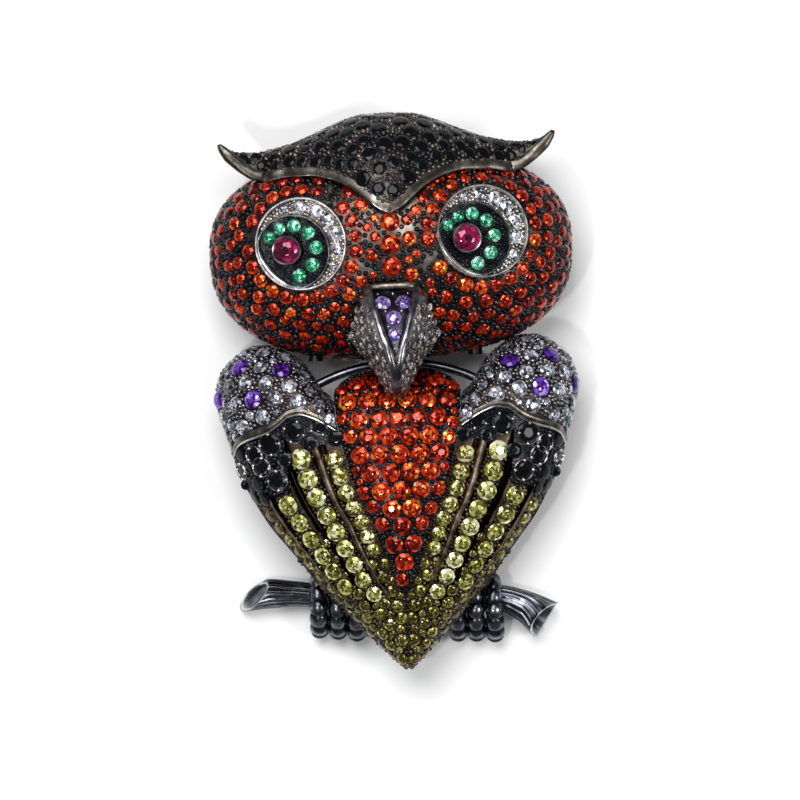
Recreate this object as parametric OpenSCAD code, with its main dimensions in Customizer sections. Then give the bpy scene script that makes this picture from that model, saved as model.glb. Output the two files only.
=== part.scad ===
// Owl brooch, lying on its back. +Z comes out of the owl's face, +Y runs up to its crest.
// Sizes are in millimetres. Every field of stones follows the surface that carries it.

/* [Head] */
// Width of the face at its widest outline
head_w = 32.4; // [31.5:0.1:33.4]
// Height of the face above its centre
head_up = 8.9; // [8.4:0.1:9.6]
// Height of the face below its centre
head_down = 9.7; // [9.4:0.1:10.2]
// Depth of the face in front of its widest outline
head_front = 8; // [7.4:0.1:8.8]
// Depth from the widest outline back to the rim
head_back = 5; // [4.7:0.1:5.6]
// Space between the chin and the top of the breast
chin_gap = 1.1; // [1:0.05:1.6]
// Thickness of every cast shell
wall = 1.2; // [1.1:0.05:1.4]

/* [Crest] */
// Height of the crest above the top of the face
crest_rise = 3.3; // [2.6:0.1:4]
// Height of the crest's rim above the face
rim_rise = 0.9; // [0.6:0.05:1.2]
// Height of the ear tips in front of the widest outline
ear_z = 3.6; // [2.8:0.1:4.4]

/* [Eyes] */
// Distance from the middle of the face to an eye's middle, as a share of half the head's width
eye_apart = 0.506; // [0.48:0.002:0.54]
// Height of the eyes above the centre of the face
eye_up = 1.2; // [0.8:0.1:1.4]
// Radius of the outer ring of an eye
eye_r = 4.2; // [4:0.05:4.4]
// Outward tilt of each eye, in degrees
eye_tilt = 11; // [6:1:15]
// Depth of each eye's casting behind the face
eye_sink = 2.2; // [2:0.1:2.6]
// Diameter of the stone in the pupil
pupil_d = 2.5; // [2:0.05:2.6]
// Largest diameter of the green stones in the iris
iris_stone_d = 1.25; // [1:0.05:1.3]
// Number of green stones in each iris
iris_count = 7; // [5:1:7]
// Number of white stones in each crescent
crescent_count = 7; // [5:1:7]

/* [Beak] */
// Width of the beak at its widest
beak_w = 8.3; // [7.6:0.1:9]
// Length of the beak, from the lip above it to the tip
beak_l = 10.15; // [9.8:0.05:10.8]
// Distance from the centre of the face down to the beak's lip
beak_down = 3.15; // [2.9:0.05:3.4]
// Height of the beak's ridge in front of the face
beak_rise = 3; // [2.6:0.1:3.6]
// Depth of the beak's casting behind its lip
beak_sink = 3.3; // [2.6:0.1:3.6]
// Diameter of the largest stone on the beak
beak_stone_d = 1.15; // [1:0.05:1.2]
// Diameter of the stones down the forehead
forehead_stone_d = 1.65; // [1.4:0.05:1.8]

/* [Body] */
// Width across both wings
body_w = 33.1; // [32:0.1:34.2]
// Length of a wing, from the shoulder down to the tail tip
wing_l = 29.6; // [28.6:0.1:31]
// Height of a wing above the back of the body
wing_h = 6.5; // [6:0.1:6.9]
// Height of the back of the body above the table
body_back = 4; // [3.95:0.05:4.4]
// Extra height of the shoulder above the wing
shoulder_step = 0.6; // [0.4:0.05:0.8]
// Extra height of the black collar above the wing
collar_step = 0.25; // [0.1:0.05:0.4]
// Bulge of the breast between the wings
breast_bulge = 1.2; // [0.8:0.1:1.3]
// Height of the ridges between the feathers
ridge_h = 0.4; // [0.2:0.05:0.5]

/* [Body stones] */
// Diameter of the stones on the breast
breast_stone_d = 1.5; // [1.3:0.05:1.6]
// Largest diameter of the stones on the feathers
feather_stone_d = 1.75; // [1.5:0.05:1.85]
// Diameter of the stones on the shoulders
shoulder_stone_d = 1.5; // [1.3:0.05:1.6]
// Space between neighbouring stones, where the beads of metal stand
stone_space = 0.3; // [0.25:0.05:0.5]
// Clearance between a stone and its seat
fit = 0.05; // [0.04:0.01:0.08]
// Space between neighbouring castings
seam = 0.12; // [0.1:0.01:0.2]

/* [Perch] */
// Radius of the branch behind the tail
branch_r = 1.15; // [1.05:0.05:1.2]
// Length of the branch from one cut end to the other
branch_l = 26.4; // [25:0.1:28]
// Height of the branch above the tip of the tail
perch_up = 6.3; // [6:0.1:6.6]
// Thickness of a toe
toe_d = 1.35; // [1.2:0.05:1.4]

/* [Pin and neck] */
// Radius of the pin stem
pin_r = 0.4; // [0.35:0.05:0.5]
// Radius of the neck post that joins head and body
neck_r = 1.3; // [1.1:0.05:1.4]
// Radius of the wire yoke across the chin gap
yoke_r = 0.4; // [0.3:0.05:0.4]

/* [Hidden] */

// Finishes, as the photograph shows them
black_metal = [0.16, 0.16, 0.18];
worn_metal = [0.42, 0.40, 0.37];
orange_stone = [0.90, 0.22, 0.04];
yellow_stone = [0.72, 0.68, 0.20];
white_stone = [0.86, 0.88, 0.92];
violet_stone = [0.30, 0.10, 0.65];
lilac_stone = [0.55, 0.42, 0.80];
green_stone = [0.10, 0.62, 0.32];
red_stone = [0.78, 0.06, 0.28];

// Proportions of a cut stone, as shares of its diameter
table_share = 0.58;
crown_share = 0.17;
pavilion_share = 0.42;
stone_sides = 8;
// How far a cutting shape runs past what it cuts
past = 1;

// Roundness of the face, from above and in section: 2 is an ellipse
outline_power = 2.45;
dome_power = 2.3;
// Roundness of the body across both wings
body_power = 2.6;
// The full rear half of the face is this many times as deep as the part that is kept
rear_share = 1.4;

// Places along the owl, before it is centred on its box
breast_top = 0;
head_y = breast_top + chin_gap + head_down;
shoulder_rise = 2.7;
wing_top = breast_top + shoulder_rise;
wing_tip = wing_top - wing_l;
crest_top = head_y + head_up + crest_rise;
centre_y = (crest_top + wing_tip) / 2;
head_z0 = head_back;
beak_top = head_y - beak_down;

function mix(a, b, t) = a + (b - a) * t;
function signed_pow(a, p) = sign(a) * pow(abs(a), p);
function column(rows, at, c) = lookup(at, [for (r = rows) [r[0], r[c]]]);
// Height of a rounded section: 1 in the middle, 0 at its edge
function arch(t, p) = pow(max(0, 1 - pow(min(1, abs(t)), p)), 1 / p);
function unit(v) = v / norm(v);
function reversed(list) = [for (k = [len(list) - 1 : -1 : 0]) list[k]];
function steps(n) = [for (k = [0 : n]) k / n];

// A plate between an outer and an inner grid of points. Rows run along +Y or -X, columns to
// their right, seen from the outside.
module plate(outer, inner) {
    rows = len(outer);
    cols = len(outer[0]);
    back = rows * cols;
    edge = concat(
        [for (j = [0 : cols - 1]) j],
        [for (i = [1 : rows - 1]) i * cols + cols - 1],
        [for (j = [cols - 2 : -1 : 0]) (rows - 1) * cols + j],
        [for (i = [rows - 2 : -1 : 1]) i * cols]
    );
    cells = [for (i = [0 : rows - 2], j = [0 : cols - 2]) i * cols + j];
    front_faces = [for (a = cells) each [[a, a + cols + 1, a + 1], [a, a + cols, a + cols + 1]]];
    back_faces = [for (f = front_faces) [f[0] + back, f[2] + back, f[1] + back]];
    rim_faces = [for (k = [0 : len(edge) - 1])
        let (a = edge[k], b = edge[(k + 1) % len(edge)])
        each [[a, b, b + back], [a, b + back, a + back]]];
    polyhedron(
        concat([for (r = outer) each r], [for (r = inner) each r]),
        concat(front_faces, back_faces, rim_faces)
    );
}

// A closed loft through rings that all have the same number of points
module loft(rings) {
    n = len(rings[0]);
    last = len(rings) - 1;
    sides = [for (i = [0 : last - 1], j = [0 : n - 1])
        let (a = i * n + j, b = i * n + (j + 1) % n)
        each [[a, b, b + n], [a, b + n, a + n]]];
    start = [for (j = [1 : n - 2]) [0, j + 1, j]];
    end = [for (j = [1 : n - 2]) [last * n, last * n + j, last * n + j + 1]];
    polyhedron([for (r = rings) each r], concat(sides, start, end));
}

// A rod along a path, with its own radius at each point. Side is square to the path.
function rod_ring(path, radii, i, side, sides) =
    let (d = unit(path[min(i + 1, len(path) - 1)] - path[max(i - 1, 0)]),
         v = unit(cross(side, d)), u = cross(d, v))
    [for (k = [0 : sides - 1]) let (a = 360 / sides * (k + 0.5))
        path[i] + radii[i] * (u * cos(a) + v * sin(a))];
module rod(path, radii, side, sides) {
    loft([for (i = [0 : len(path) - 1]) rod_ring(path, radii, i, side, sides)]);
}

// A cut stone with its girdle at z = 0: a table, sixteen crown facets and eight pavilion facets
module stone(d) {
    turn = 360 / stone_sides;
    table = [for (k = [0 : stone_sides - 1]) let (a = turn * (k + 0.5))
        [d / 2 * table_share * cos(a), d / 2 * table_share * sin(a), d * crown_share]];
    girdle = [for (k = [0 : stone_sides - 1]) [d / 2 * cos(turn * k), d / 2 * sin(turn * k), 0]];
    culet = 2 * stone_sides;
    facets = [for (k = [0 : stone_sides - 1]) let (next = (k + 1) % stone_sides)
        each [[stone_sides + k, k, stone_sides + next], [k, next, stone_sides + next],
              [culet, stone_sides + k, stone_sides + next]]];
    polyhedron(
        concat(table, girdle, [[0, 0, -d * pavilion_share]]),
        concat([[for (k = [stone_sides - 1 : -1 : 0]) k]], facets)
    );
}

// The bore that a stone sits in, open upwards
module seat(d) {
    depth = d * pavilion_share + fit;
    translate([0, 0, -depth]) cylinder(d = d + 2 * fit, h = depth + past, $fn = 24);
}

// Puts its children at a point, with their z axis along a normal
module set_at(place) {
    n = place[1];
    translate(place[0]) rotate([0, acos(n[2]), atan2(n[1], n[0])]) children();
}

// A place is [point, normal, diameter]
module stones_at(places) {
    for (p = places) set_at(p) stone(p[2]);
}
module seats_at(places) {
    for (p = places) set_at(p) seat(p[2]);
}
module centred() {
    translate([0, -centre_y, 0]) children();
}
module on_side(side) {
    mirror([side < 0 ? 1 : 0, 0, 0]) children();
}
// Sinks a place into its casting so that the girdle lies level with the metal
function sunk(place) = [place[0] - place[1] * fit, place[1], place[2]];

// Head

function face_b(y) = y >= head_y ? head_up : head_down;
// How far a point is from the middle of the face, as a share of the outline
function face_reach(x, y) = pow(
    pow(abs(x) / (head_w / 2), outline_power) + pow(abs(y - head_y) / face_b(y), outline_power),
    1 / outline_power
);
function face_z(x, y) = head_z0 + head_front * arch(face_reach(x, y), dome_power);
slope_step = 0.05;
function face_normal(x, y) = let (e = slope_step)
    unit([face_z(x - e, y) - face_z(x + e, y), face_z(x, y - e) - face_z(x, y + e), 2 * e]);

head_cols = 32;
head_front_angles = [8, 24, 38, 51, 63, 76, 90];
head_rear_steps = 3;
// One level ring of the head: share of the outline, height over the widest outline, and inset
function head_ring(share, z, inset) = [for (k = [0 : head_cols - 1])
    let (a = 360 / head_cols * k, c = signed_pow(cos(a), 2 / outline_power),
         s = signed_pow(sin(a), 2 / outline_power))
    [(head_w / 2 - inset) * c * share,
     head_y + ((s >= 0 ? head_up : head_down) - inset) * s * share,
     head_z0 + z]];
function front_rings(inset) = [for (a = head_front_angles)
    head_ring(pow(sin(a), 2 / dome_power), (head_front - inset) * pow(cos(a), 2 / dome_power), inset)];
function rear_rings(inset) = [for (k = [1 : head_rear_steps])
    let (z = head_back * k / head_rear_steps)
    head_ring(arch(z / (head_back * rear_share), dome_power), -z, inset)];
// Half width inside the head's shell, at a height above the table
function inside_half(z) = (head_w / 2 - wall) * arch((head_z0 - z) / (head_back * rear_share), dome_power);

module head_shell() {
    loft(concat(
        front_rings(0), rear_rings(0), reversed(rear_rings(wall)), reversed(front_rings(wall))
    ));
}
// The short pegs under the cheeks
peg_x = 7.2;
peg_r = 0.65;
peg_l = 1.65;
module cheek_pegs() {
    for (side = [-1, 1]) translate([side * peg_x, head_y - head_down - fit, head_z0 + peg_r])
        rotate([-90, 0, 0]) cylinder(r = peg_r, h = peg_l, $fn = 24);
}

// The stones down the forehead, between the crest's point and the beak's lip
forehead_count = 3;
forehead_y = [for (k = [0 : forehead_count - 1])
    beak_top + forehead_stone_d * 0.95 + (forehead_stone_d + stone_space * 1.2) * k];
forehead_places = [for (y = forehead_y)
    sunk([[0, y, face_z(0, y)], face_normal(0, y), forehead_stone_d])];

module head() {
    color(black_metal) centred() difference() {
        union() {
            head_shell();
            cheek_pegs();
        }
        crest_space();
        for (side = [-1, 1]) eye_frame(side) eye_window();
        beak_window();
        neck_bore();
        seats_at(forehead_places);
    }
}
module forehead_stones() {
    color(orange_stone) centred() stones_at(forehead_places);
}

// Crest, with the two ear tips

// A row for each section across the crest. x: share of half the head's width.
// low: height of the front edge, as a share of head_up. rise: share of crest_rise at the top.
// front: height of the top outline, as a share of ear_z. back: height of the rear edge, as a
// share of head_back where it is negative and of ear_z where it is positive.
crest_rows = [
    [0.000, 0.380, 1.00, 0.60, -1.00],
    [0.050, 0.420, 0.99, 0.60, -1.00],
    [0.120, 0.530, 0.98, 0.60, -1.00],
    [0.200, 0.650, 0.90, 0.60, -1.00],
    [0.310, 0.745, 0.70, 0.62, -1.00],
    [0.430, 0.790, 0.45, 0.66, -1.00],
    [0.550, 0.790, 0.24, 0.70, -1.00],
    [0.670, 0.760, 0.11, 0.76, -1.00],
    [0.735, 0.775, 0.06, 0.80, -0.70],
    [0.790, 0.830, 0.07, 0.84,  0.05],
    [0.865, 0.935, 0.16, 0.92,  0.45],
    [0.930, 1.055, 0.33, 0.98,  0.62]
];
function crest_value(x, c) = column(crest_rows, abs(x) / (head_w / 2), c);
function crest_low(x) = head_y + head_up * crest_value(x, 1);
function crest_high(x) = head_y + head_up + crest_rise * crest_value(x, 2);
function crest_edge_z(x) = max(face_z(x, crest_low(x)) + rim_rise, head_z0 + ear_z);
function crest_top_z(x) = head_z0 + ear_z * crest_value(x, 3);
function crest_back_z(x) = let (b = crest_value(x, 4)) head_z0 + (b < 0 ? head_back : ear_z) * b;
// How far the rear edge lies inside the top outline
tuck_share = 0.26;
function crest_tuck(x) = (crest_high(x) - crest_low(x)) * tuck_share;
crest_x = concat(
    [for (r = reversed(crest_rows)) r[0] * head_w / 2],
    [for (k = [1 : len(crest_rows) - 1]) -crest_rows[k][0] * head_w / 2]
);
crest_front_steps = 6;
crest_back_steps = 3;
// Section of the crest at x: over the front from the low edge to the top, then down the back
function crest_section(x, inset) =
    let (w = min(inset, (crest_high(x) - crest_low(x)) * 0.36), low = crest_low(x),
         high = crest_high(x) - w, z0 = crest_top_z(x), z1 = crest_edge_z(x) - w,
         zb = crest_back_z(x), tuck = crest_tuck(x))
    concat(
        [for (t = steps(crest_front_steps)) [x, mix(low, high, sin(90 * t)), mix(z0, z1, cos(90 * t))]],
        [for (k = [1 : crest_back_steps]) let (a = 90 * k / crest_back_steps)
            [x, high - tuck * (1 - cos(a)), mix(z0, zb, sin(a))]]
    );
module crest() {
    color(black_metal) centred()
        plate([for (x = crest_x) crest_section(x, 0)], [for (x = crest_x) crest_section(x, wall)]);
}
// What the crest takes out of the head: everything above its low edge
module crest_space() {
    reach = head_w / 2 + past;
    low = [for (x = reversed(crest_x)) [x, crest_low(x) - seam]];
    top = crest_top + past;
    translate([0, 0, -past]) linear_extrude(height = head_back + head_front + 3 * past)
        polygon(concat([[-reach, top], [-reach, low[0][1]]], low,
            [[reach, low[len(low) - 1][1]], [reach, top]]));
}

// Eyes

eye_x = head_w / 2 * eye_apart;
eye_y = head_y + eye_up;
eye_floor = -0.1;
ring_w = 0.25;
ring_h = 0.45;
iris_r = eye_r * 0.79;
iris_at = [-eye_r * 0.193, -eye_r * 0.171];
iris_drop = 0.3;
iris_rim_h = 0.36;
pupil_at = [-eye_r * 0.326, -eye_r * 0.126];
collet_w = 0.2;
collet_h = 0.55;
// First angle and step of the green stones about the pupil, and of the white ones about the eye
iris_start = 143;
iris_turn = -35;
crescent_start = 116;
crescent_turn = -25.5;

module eye_frame(side) {
    translate([side * eye_x, eye_y, face_z(eye_x, eye_y)]) rotate([0, side * eye_tilt, 0]) children();
}
module eye_window() {
    translate([0, 0, -head_front]) cylinder(r = eye_r + seam, h = head_front + 3 * past, $fn = 64);
}
// Distance from a point inside the iris to its edge, in a direction
function iris_edge(from, dir) = let (off = from - iris_at, p = off * dir)
    -p + sqrt(iris_r * iris_r - off * off + p * p);
crescent_places = [for (k = [0 : crescent_count - 1])
    let (a = crescent_start + crescent_turn * k, dir = [cos(a), sin(a)],
         near = iris_edge([0, 0], dir) + ring_w / 2, far = eye_r - ring_w,
         r = (near + far) / 2, d = min(iris_stone_d, far - near - 4 * fit))
    sunk([[r * dir[0], r * dir[1], eye_floor], [0, 0, 1], d])];
// The green stones stand between the pupil's collet and the edge of the iris
iris_places = [for (k = [0 : iris_count - 1])
    let (a = iris_start + iris_turn * k, dir = [cos(a), sin(a)], near = pupil_d / 2 + collet_w,
         far = iris_edge(pupil_at, dir) - ring_w / 2, r = (near + far) / 2,
         d = min(iris_stone_d, far - near - 2 * fit, 2 * r * sin(-iris_turn / 2) - 3 * fit))
    sunk([[pupil_at[0] + r * dir[0], pupil_at[1] + r * dir[1], eye_floor - iris_drop], [0, 0, 1], d])];
pupil_place = [[pupil_at[0], pupil_at[1], eye_floor + collet_h * 0.5], [0, 0, 1], pupil_d];

module disc_at(at, r, z, h) {
    translate([at[0], at[1], z]) cylinder(r = r, h = h, $fn = 64);
}
module eye_setting() {
    color(worn_metal) difference() {
        disc_at([0, 0], eye_r, -eye_sink, eye_sink + ring_h);
        difference() {
            disc_at([0, 0], eye_r - ring_w, eye_floor, 2 * past);
            disc_at(iris_at, iris_r + ring_w / 2, eye_floor - past, past + iris_rim_h);
        }
        difference() {
            intersection() {
                disc_at([0, 0], eye_r - ring_w, eye_floor - iris_drop, 2 * past);
                disc_at(iris_at, iris_r - ring_w / 2, eye_floor - iris_drop, 2 * past);
            }
            disc_at(pupil_at, pupil_d / 2 + fit + collet_w, eye_floor - past, past + collet_h);
        }
        seats_at(crescent_places);
        seats_at(iris_places);
        set_at(pupil_place) seat(pupil_d);
    }
}
module eye_left() { centred() eye_frame(-1) eye_setting(); }
module eye_right() { centred() eye_frame(1) eye_setting(); }
module pupil_left() { color(red_stone) centred() eye_frame(-1) stones_at([pupil_place]); }
module pupil_right() { color(red_stone) centred() eye_frame(1) stones_at([pupil_place]); }
module iris_stones_left() { color(green_stone) centred() eye_frame(-1) stones_at(iris_places); }
module iris_stones_right() { color(green_stone) centred() eye_frame(1) stones_at(iris_places); }
module crescent_stones_left() { color(white_stone) centred() eye_frame(-1) stones_at(crescent_places); }
module crescent_stones_right() { color(white_stone) centred() eye_frame(1) stones_at(crescent_places); }

// Beak

beak_floor = face_z(0, beak_top) - beak_sink;
// The ridges stand this far proud of the sunk triangle, and are this wide
beak_rib = 0.3;
beak_rib_w = 0.28;
// The beak's outer edge stands this far proud of the face
beak_edge_h = 0.35;
// A row for each section down the beak. down: share of beak_l. wide: share of half its width.
// ridge: half distance between the ridges, as the same share. high: share of beak_rise over
// the front of the face. low: share of beak_rise that the underside rises.
beak_rows = [
    [0.000, 0.46, 0.37, 0.02, 0.00],
    [0.070, 0.60, 0.37, 0.25, 0.00],
    [0.123, 0.71, 0.34, 0.40, 0.00],
    [0.280, 0.86, 0.235, 0.72, 0.00],
    [0.443, 1.00, 0.15, 0.93, 0.00],
    [0.550, 0.82, 0.09, 1.00, 0.00],
    [0.652, 0.61, 0.04, 0.98, 0.02],
    [0.760, 0.48, 0.04, 0.86, 0.16],
    [0.870, 0.31, 0.04, 0.52, 0.32],
    [1.000, 0.07, 0.02, -0.35, 0.62]
];
function beak_share(y) = (beak_top - y) / beak_l;
function beak_value(y, c) = column(beak_rows, beak_share(y), c);
function beak_half(y) = beak_w / 2 * beak_value(y, 1);
function beak_ridge(y) = beak_w / 2 * beak_value(y, 2);
function beak_high(y) = head_z0 + head_front + beak_rise * beak_value(y, 3);
function beak_low(y) = beak_floor + beak_rise * beak_value(y, 4);
// Height of the beak's outer edge: on the face where there is face, and never below its floor
function beak_edge_z(y) = max(face_z(beak_half(y), y) + beak_edge_h, mix(beak_low(y), beak_high(y), 0.25));
function beak_section(y) =
    let (w = beak_half(y), r = beak_ridge(y), e = beak_edge_z(y), h = beak_high(y),
         sunk_z = h - beak_rib * min(1, r / beak_rib_w / 2), b = beak_low(y), rib = min(beak_rib_w, r / 2),
         shoulder = min(rib, (w - r) / 2))
    [[w, y, b], [w, y, e], [r + shoulder, y, h - beak_rib], [r, y, h], [r - rib, y, sunk_z],
     [rib - r, y, sunk_z], [-r, y, h], [-r - shoulder, y, h - beak_rib], [-w, y, e], [-w, y, b]];
beak_stations = [for (r = reversed(beak_rows)) beak_top - r[0] * beak_l];
// A row for each stone on the beak. down: share of beak_l. across: share of its width.
// size: share of beak_stone_d.
beak_stone_rows = [
    [0.168, -0.0825, 1.00],
    [0.168, 0.0825, 1.00],
    [0.305, 0.0, 0.93],
    [0.430, 0.0, 0.72]
];
function beak_stone_z(y) = beak_high(y) - beak_rib;
beak_places = [for (r = beak_stone_rows) let (y = beak_top - r[0] * beak_l,
    n = unit([0, beak_stone_z(y - 1) - beak_stone_z(y + 1), 2]))
    sunk([[r[1] * beak_w, y, beak_stone_z(y)], n, beak_stone_d * r[2]])];

module beak() {
    color(worn_metal) centred() difference() {
        loft([for (y = beak_stations) beak_section(y)]);
        seats_at(beak_places);
    }
}
module beak_window() {
    right = concat([for (y = beak_stations) [beak_half(y) + seam * 1.5, y]],
        [[beak_half(beak_top) + seam * 1.5, beak_top + seam]]);
    left = [for (p = reversed(right)) [-p[0], p[1]]];
    translate([0, 0, beak_floor - seam]) linear_extrude(height = head_front + 3 * past)
        polygon(concat(right, left));
}
module beak_stones() {
    color(lilac_stone) centred() stones_at(beak_places);
}

// Body

// A row for each height down the wing. down: share of wing_l. outer and inner: half widths of
// the wing's two edges, as shares of half the body's width. high: share of wing_h.
body_rows = [
    [0.0000, 0.725, 0.347, 1.00],
    [0.0135, 0.831, 0.347, 1.00],
    [0.0540, 0.918, 0.347, 1.00],
    [0.1150, 0.985, 0.347, 1.00],
    [0.1620, 1.000, 0.347, 1.00],
    [0.2230, 0.979, 0.338, 1.00],
    [0.2905, 0.946, 0.322, 1.00],
    [0.3510, 0.900, 0.292, 0.99],
    [0.4090, 0.864, 0.264, 0.97],
    [0.4830, 0.795, 0.222, 0.94],
    [0.5570, 0.716, 0.155, 0.90],
    [0.6110, 0.641, 0.128, 0.86],
    [0.6720, 0.556, 0.090, 0.81],
    [0.7300, 0.480, 0.050, 0.75],
    [0.7840, 0.390, 0.004, 0.69],
    [0.8890, 0.218, 0.004, 0.55],
    [0.9560, 0.106, 0.004, 0.45],
    [1.0000, 0.020, 0.004, 0.38]
];
function body_share(y) = (wing_top - y) / wing_l;
function outer_x(y) = body_w / 2 * column(body_rows, body_share(y), 1);
function inner_x(y) = body_w / 2 * column(body_rows, body_share(y), 2);
function wing_x(u, y) = mix(inner_x(y) + seam / 2, outer_x(y), u);
function body_rise(y) = wing_h * column(body_rows, body_share(y), 3);
function wing_z(x, y) = body_back + body_rise(y) * arch(min(0.985, abs(x) / outer_x(y)), body_power);
// The inside of the body is the same dome, drawn in by the wall, but never to less than this share
least_inside = 0.6;
function inside_share(size, drop) = max(least_inside, 1 - drop / size);
// Only towards the outer edge, where u is 1, does the inside move in sideways
function lowered(p, u, drop) = [
    p[0] - outer_x(p[1]) * (1 - inside_share(outer_x(p[1]), drop)) * pow(min(u, 1), 3), p[1],
    body_back + (p[2] - body_back) * inside_share(body_rise(p[1]), drop)
];

// Breast

breast_rounding = 6;
// A row for each height at the rounded top of the breast: drop below its top, and half width,
// both as shares of the width between the wings there
breast_top_rows = [
    [0.000, 0.40],
    [0.025, 0.63],
    [0.060, 0.80],
    [0.115, 0.93],
    [0.180, 1.00]
];
throat_w = body_w / 2 * body_rows[0][2] * 2;
function breast_half(y) = min(
    inner_x(y) - seam / 2, throat_w / 2 * lookup((breast_top - y) / throat_w, breast_top_rows)
);
// How far a height lies up the rounded top of the breast: 0 below it, 1 at the very top
function breast_throat(y) = max(0, (y - breast_top + breast_rounding) / breast_rounding);
throat_end = 0.967;
function breast_z(x, y) =
    let (s = min(1, abs(x) / breast_half(y)), fall = arch(breast_throat(y) * throat_end, dome_power))
    body_back + (body_rise(y) + breast_bulge * arch(s, 2)) * fall
        * arch(x / outer_x(y), body_power);
function breast_normal(x, y) = let (e = slope_step)
    unit([breast_z(x - e, y) - breast_z(x + e, y), breast_z(x, y - e) - breast_z(x, y + e), 2 * e]);
// The breast ends above the tail, where it still has this half width
breast_end = 0.35;
breast_bottom = wing_top - 0.765 * wing_l;
breast_y = concat(
    [for (t = steps(11)) mix(breast_bottom, breast_top - 0.18 * throat_w - 1, t)],
    [for (r = reversed(breast_top_rows)) breast_top - r[0] * throat_w]
);
breast_cols = 9;
function breast_row(y, drop) = [for (k = [0 : breast_cols - 1])
    let (s = sin(mix(-90, 90, k / (breast_cols - 1))), x = breast_half(y) * s)
    lowered([x, y, breast_z(x, y)], 0, drop) - [0, drop * pow(breast_throat(y), 3), 0]];

breast_pitch = breast_stone_d + stone_space;
breast_row_pitch = breast_pitch * 0.9;
breast_places = [
    for (j = [0 : ceil(wing_l / breast_row_pitch)])
        let (y = breast_top - breast_stone_d * 0.75 - j * breast_row_pitch,
             room = breast_half(y) - breast_stone_d / 2 - 0.12)
        if (y > breast_bottom + breast_stone_d * 0.6 && room >= 0)
            let (spaces = floor(2 * room / breast_pitch),
                 count = (spaces + j) % 2 == 0 || spaces == 0 ? spaces + 1 : spaces)
            for (k = [0 : count - 1])
                let (x = (k - (count - 1) / 2) * breast_pitch)
                sunk([[x, y, breast_z(x, y)], breast_normal(x, y), breast_stone_d])
];
module breast() {
    color(black_metal) centred() difference() {
        plate([for (y = breast_y) breast_row(y, 0)], [for (y = breast_y) breast_row(y, wall)]);
        seats_at(breast_places);
    }
}
module breast_stones() {
    color(orange_stone) centred() stones_at(breast_places);
}

// Shoulders, collars and wings

// A row for each station across the wing. u: share across it. rim: height of the shoulder's
// rim and low: height of the collar's lower edge, both as shares of wing_l below its top.
// top_x: half width, as a share of the body's, and top: share of wing_l below its top, of the
// shoulder's upper outline.
shoulder_rows = [
    [0.00, 0.272, 0.312, 0.350, 0.179],
    [0.10, 0.247, 0.308, 0.417, 0.140],
    [0.20, 0.228, 0.314, 0.462, 0.096],
    [0.30, 0.217, 0.312, 0.526, 0.051],
    [0.40, 0.223, 0.298, 0.610, 0.017],
    [0.46, 0.237, 0.284, 0.655, 0.005],
    [0.52, 0.252, 0.335, 0.697, 0.000],
    [0.60, 0.267, 0.445, 0.755, 0.000],
    [0.70, 0.279, 0.459, 0.822, 0.012],
    [0.80, 0.289, 0.463, 0.894, 0.041],
    [0.90, 0.307, 0.482, 0.955, 0.081],
    [1.00, 0.348, 0.500, 0.997, 0.162]
];
function wing_y(u, c) = wing_top - wing_l * column(shoulder_rows, u, c);
function rim_y(u) = wing_y(u, 1);
function low_y(u) = wing_y(u, 2);
function shoulder_top(u) = [body_w / 2 * column(shoulder_rows, u, 3), wing_y(u, 4)];
shoulder_u = reversed([for (r = shoulder_rows) r[0]]);
shoulder_t = [0, 0.2, 0.42, 0.62, 0.79, 0.91, 1];
// Surface of the shoulder: t runs from the rim up to the outline
function shoulder_point(u, t) =
    let (low = [wing_x(u, rim_y(u)), rim_y(u) + seam], xy = mix(low, shoulder_top(u), t),
         h = wing_z(low[0], low[1]) - body_back + shoulder_step * arch(u, 4))
    [xy[0], xy[1], body_back + h * (1 + 0.06 * sin(180 * t)) * arch(t * 0.995, dome_power)];
function shoulder_normal(u, t) = let (e = 0.01)
    unit(cross(shoulder_point(u + e, t) - shoulder_point(u - e, t),
        shoulder_point(u, t + e) - shoulder_point(u, t - e)));
// The inside is drawn in towards the middle of the ball
shoulder_at = [body_w / 2 * 0.665, wing_top - wing_l * 0.145];
shoulder_reach = body_w * 0.139;
function shoulder_grid(drop) = [for (u = shoulder_u) [for (t = shoulder_t)
    let (p = shoulder_point(u, t), k = 1 - drop / shoulder_reach)
    [mix(shoulder_at[0], p[0], k), mix(shoulder_at[1], p[1], k),
     body_back + (p[2] - body_back) * inside_share(wing_h, drop)]]];

// A row for each stone of the shoulder. u: share across it. t: share from the rim up to the
// outline. violet: 1 for a violet stone, 0 for a white one.
shoulder_stone_rows = [
    [0.31, 0.20, 0], [0.63, 0.18, 0], [0.82, 0.17, 0], [0.13, 0.42, 0], [0.50, 0.32, 0],
    [0.69, 0.42, 1], [0.84, 0.48, 0], [0.37, 0.47, 0], [0.56, 0.55, 0], [0.73, 0.64, 0],
    [0.42, 0.69, 1], [0.585, 0.75, 0], [0.86, 0.74, 0], [0.26, 0.78, 0], [0.75, 0.84, 1],
    [0.40, 0.89, 0], [0.55, 0.91, 0], [0.97, 0.60, 0], [0.965, 0.86, 1]
];
shoulder_all = [for (r = shoulder_stone_rows)
    sunk([shoulder_point(r[0], r[1]), shoulder_normal(r[0], r[1]), shoulder_stone_d])];
function shoulder_kind(violet) = [for (k = [0 : len(shoulder_all) - 1])
    if (shoulder_stone_rows[k][2] == violet) shoulder_all[k]];
shoulder_places = shoulder_kind(0);
violet_places = shoulder_kind(1);

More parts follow.
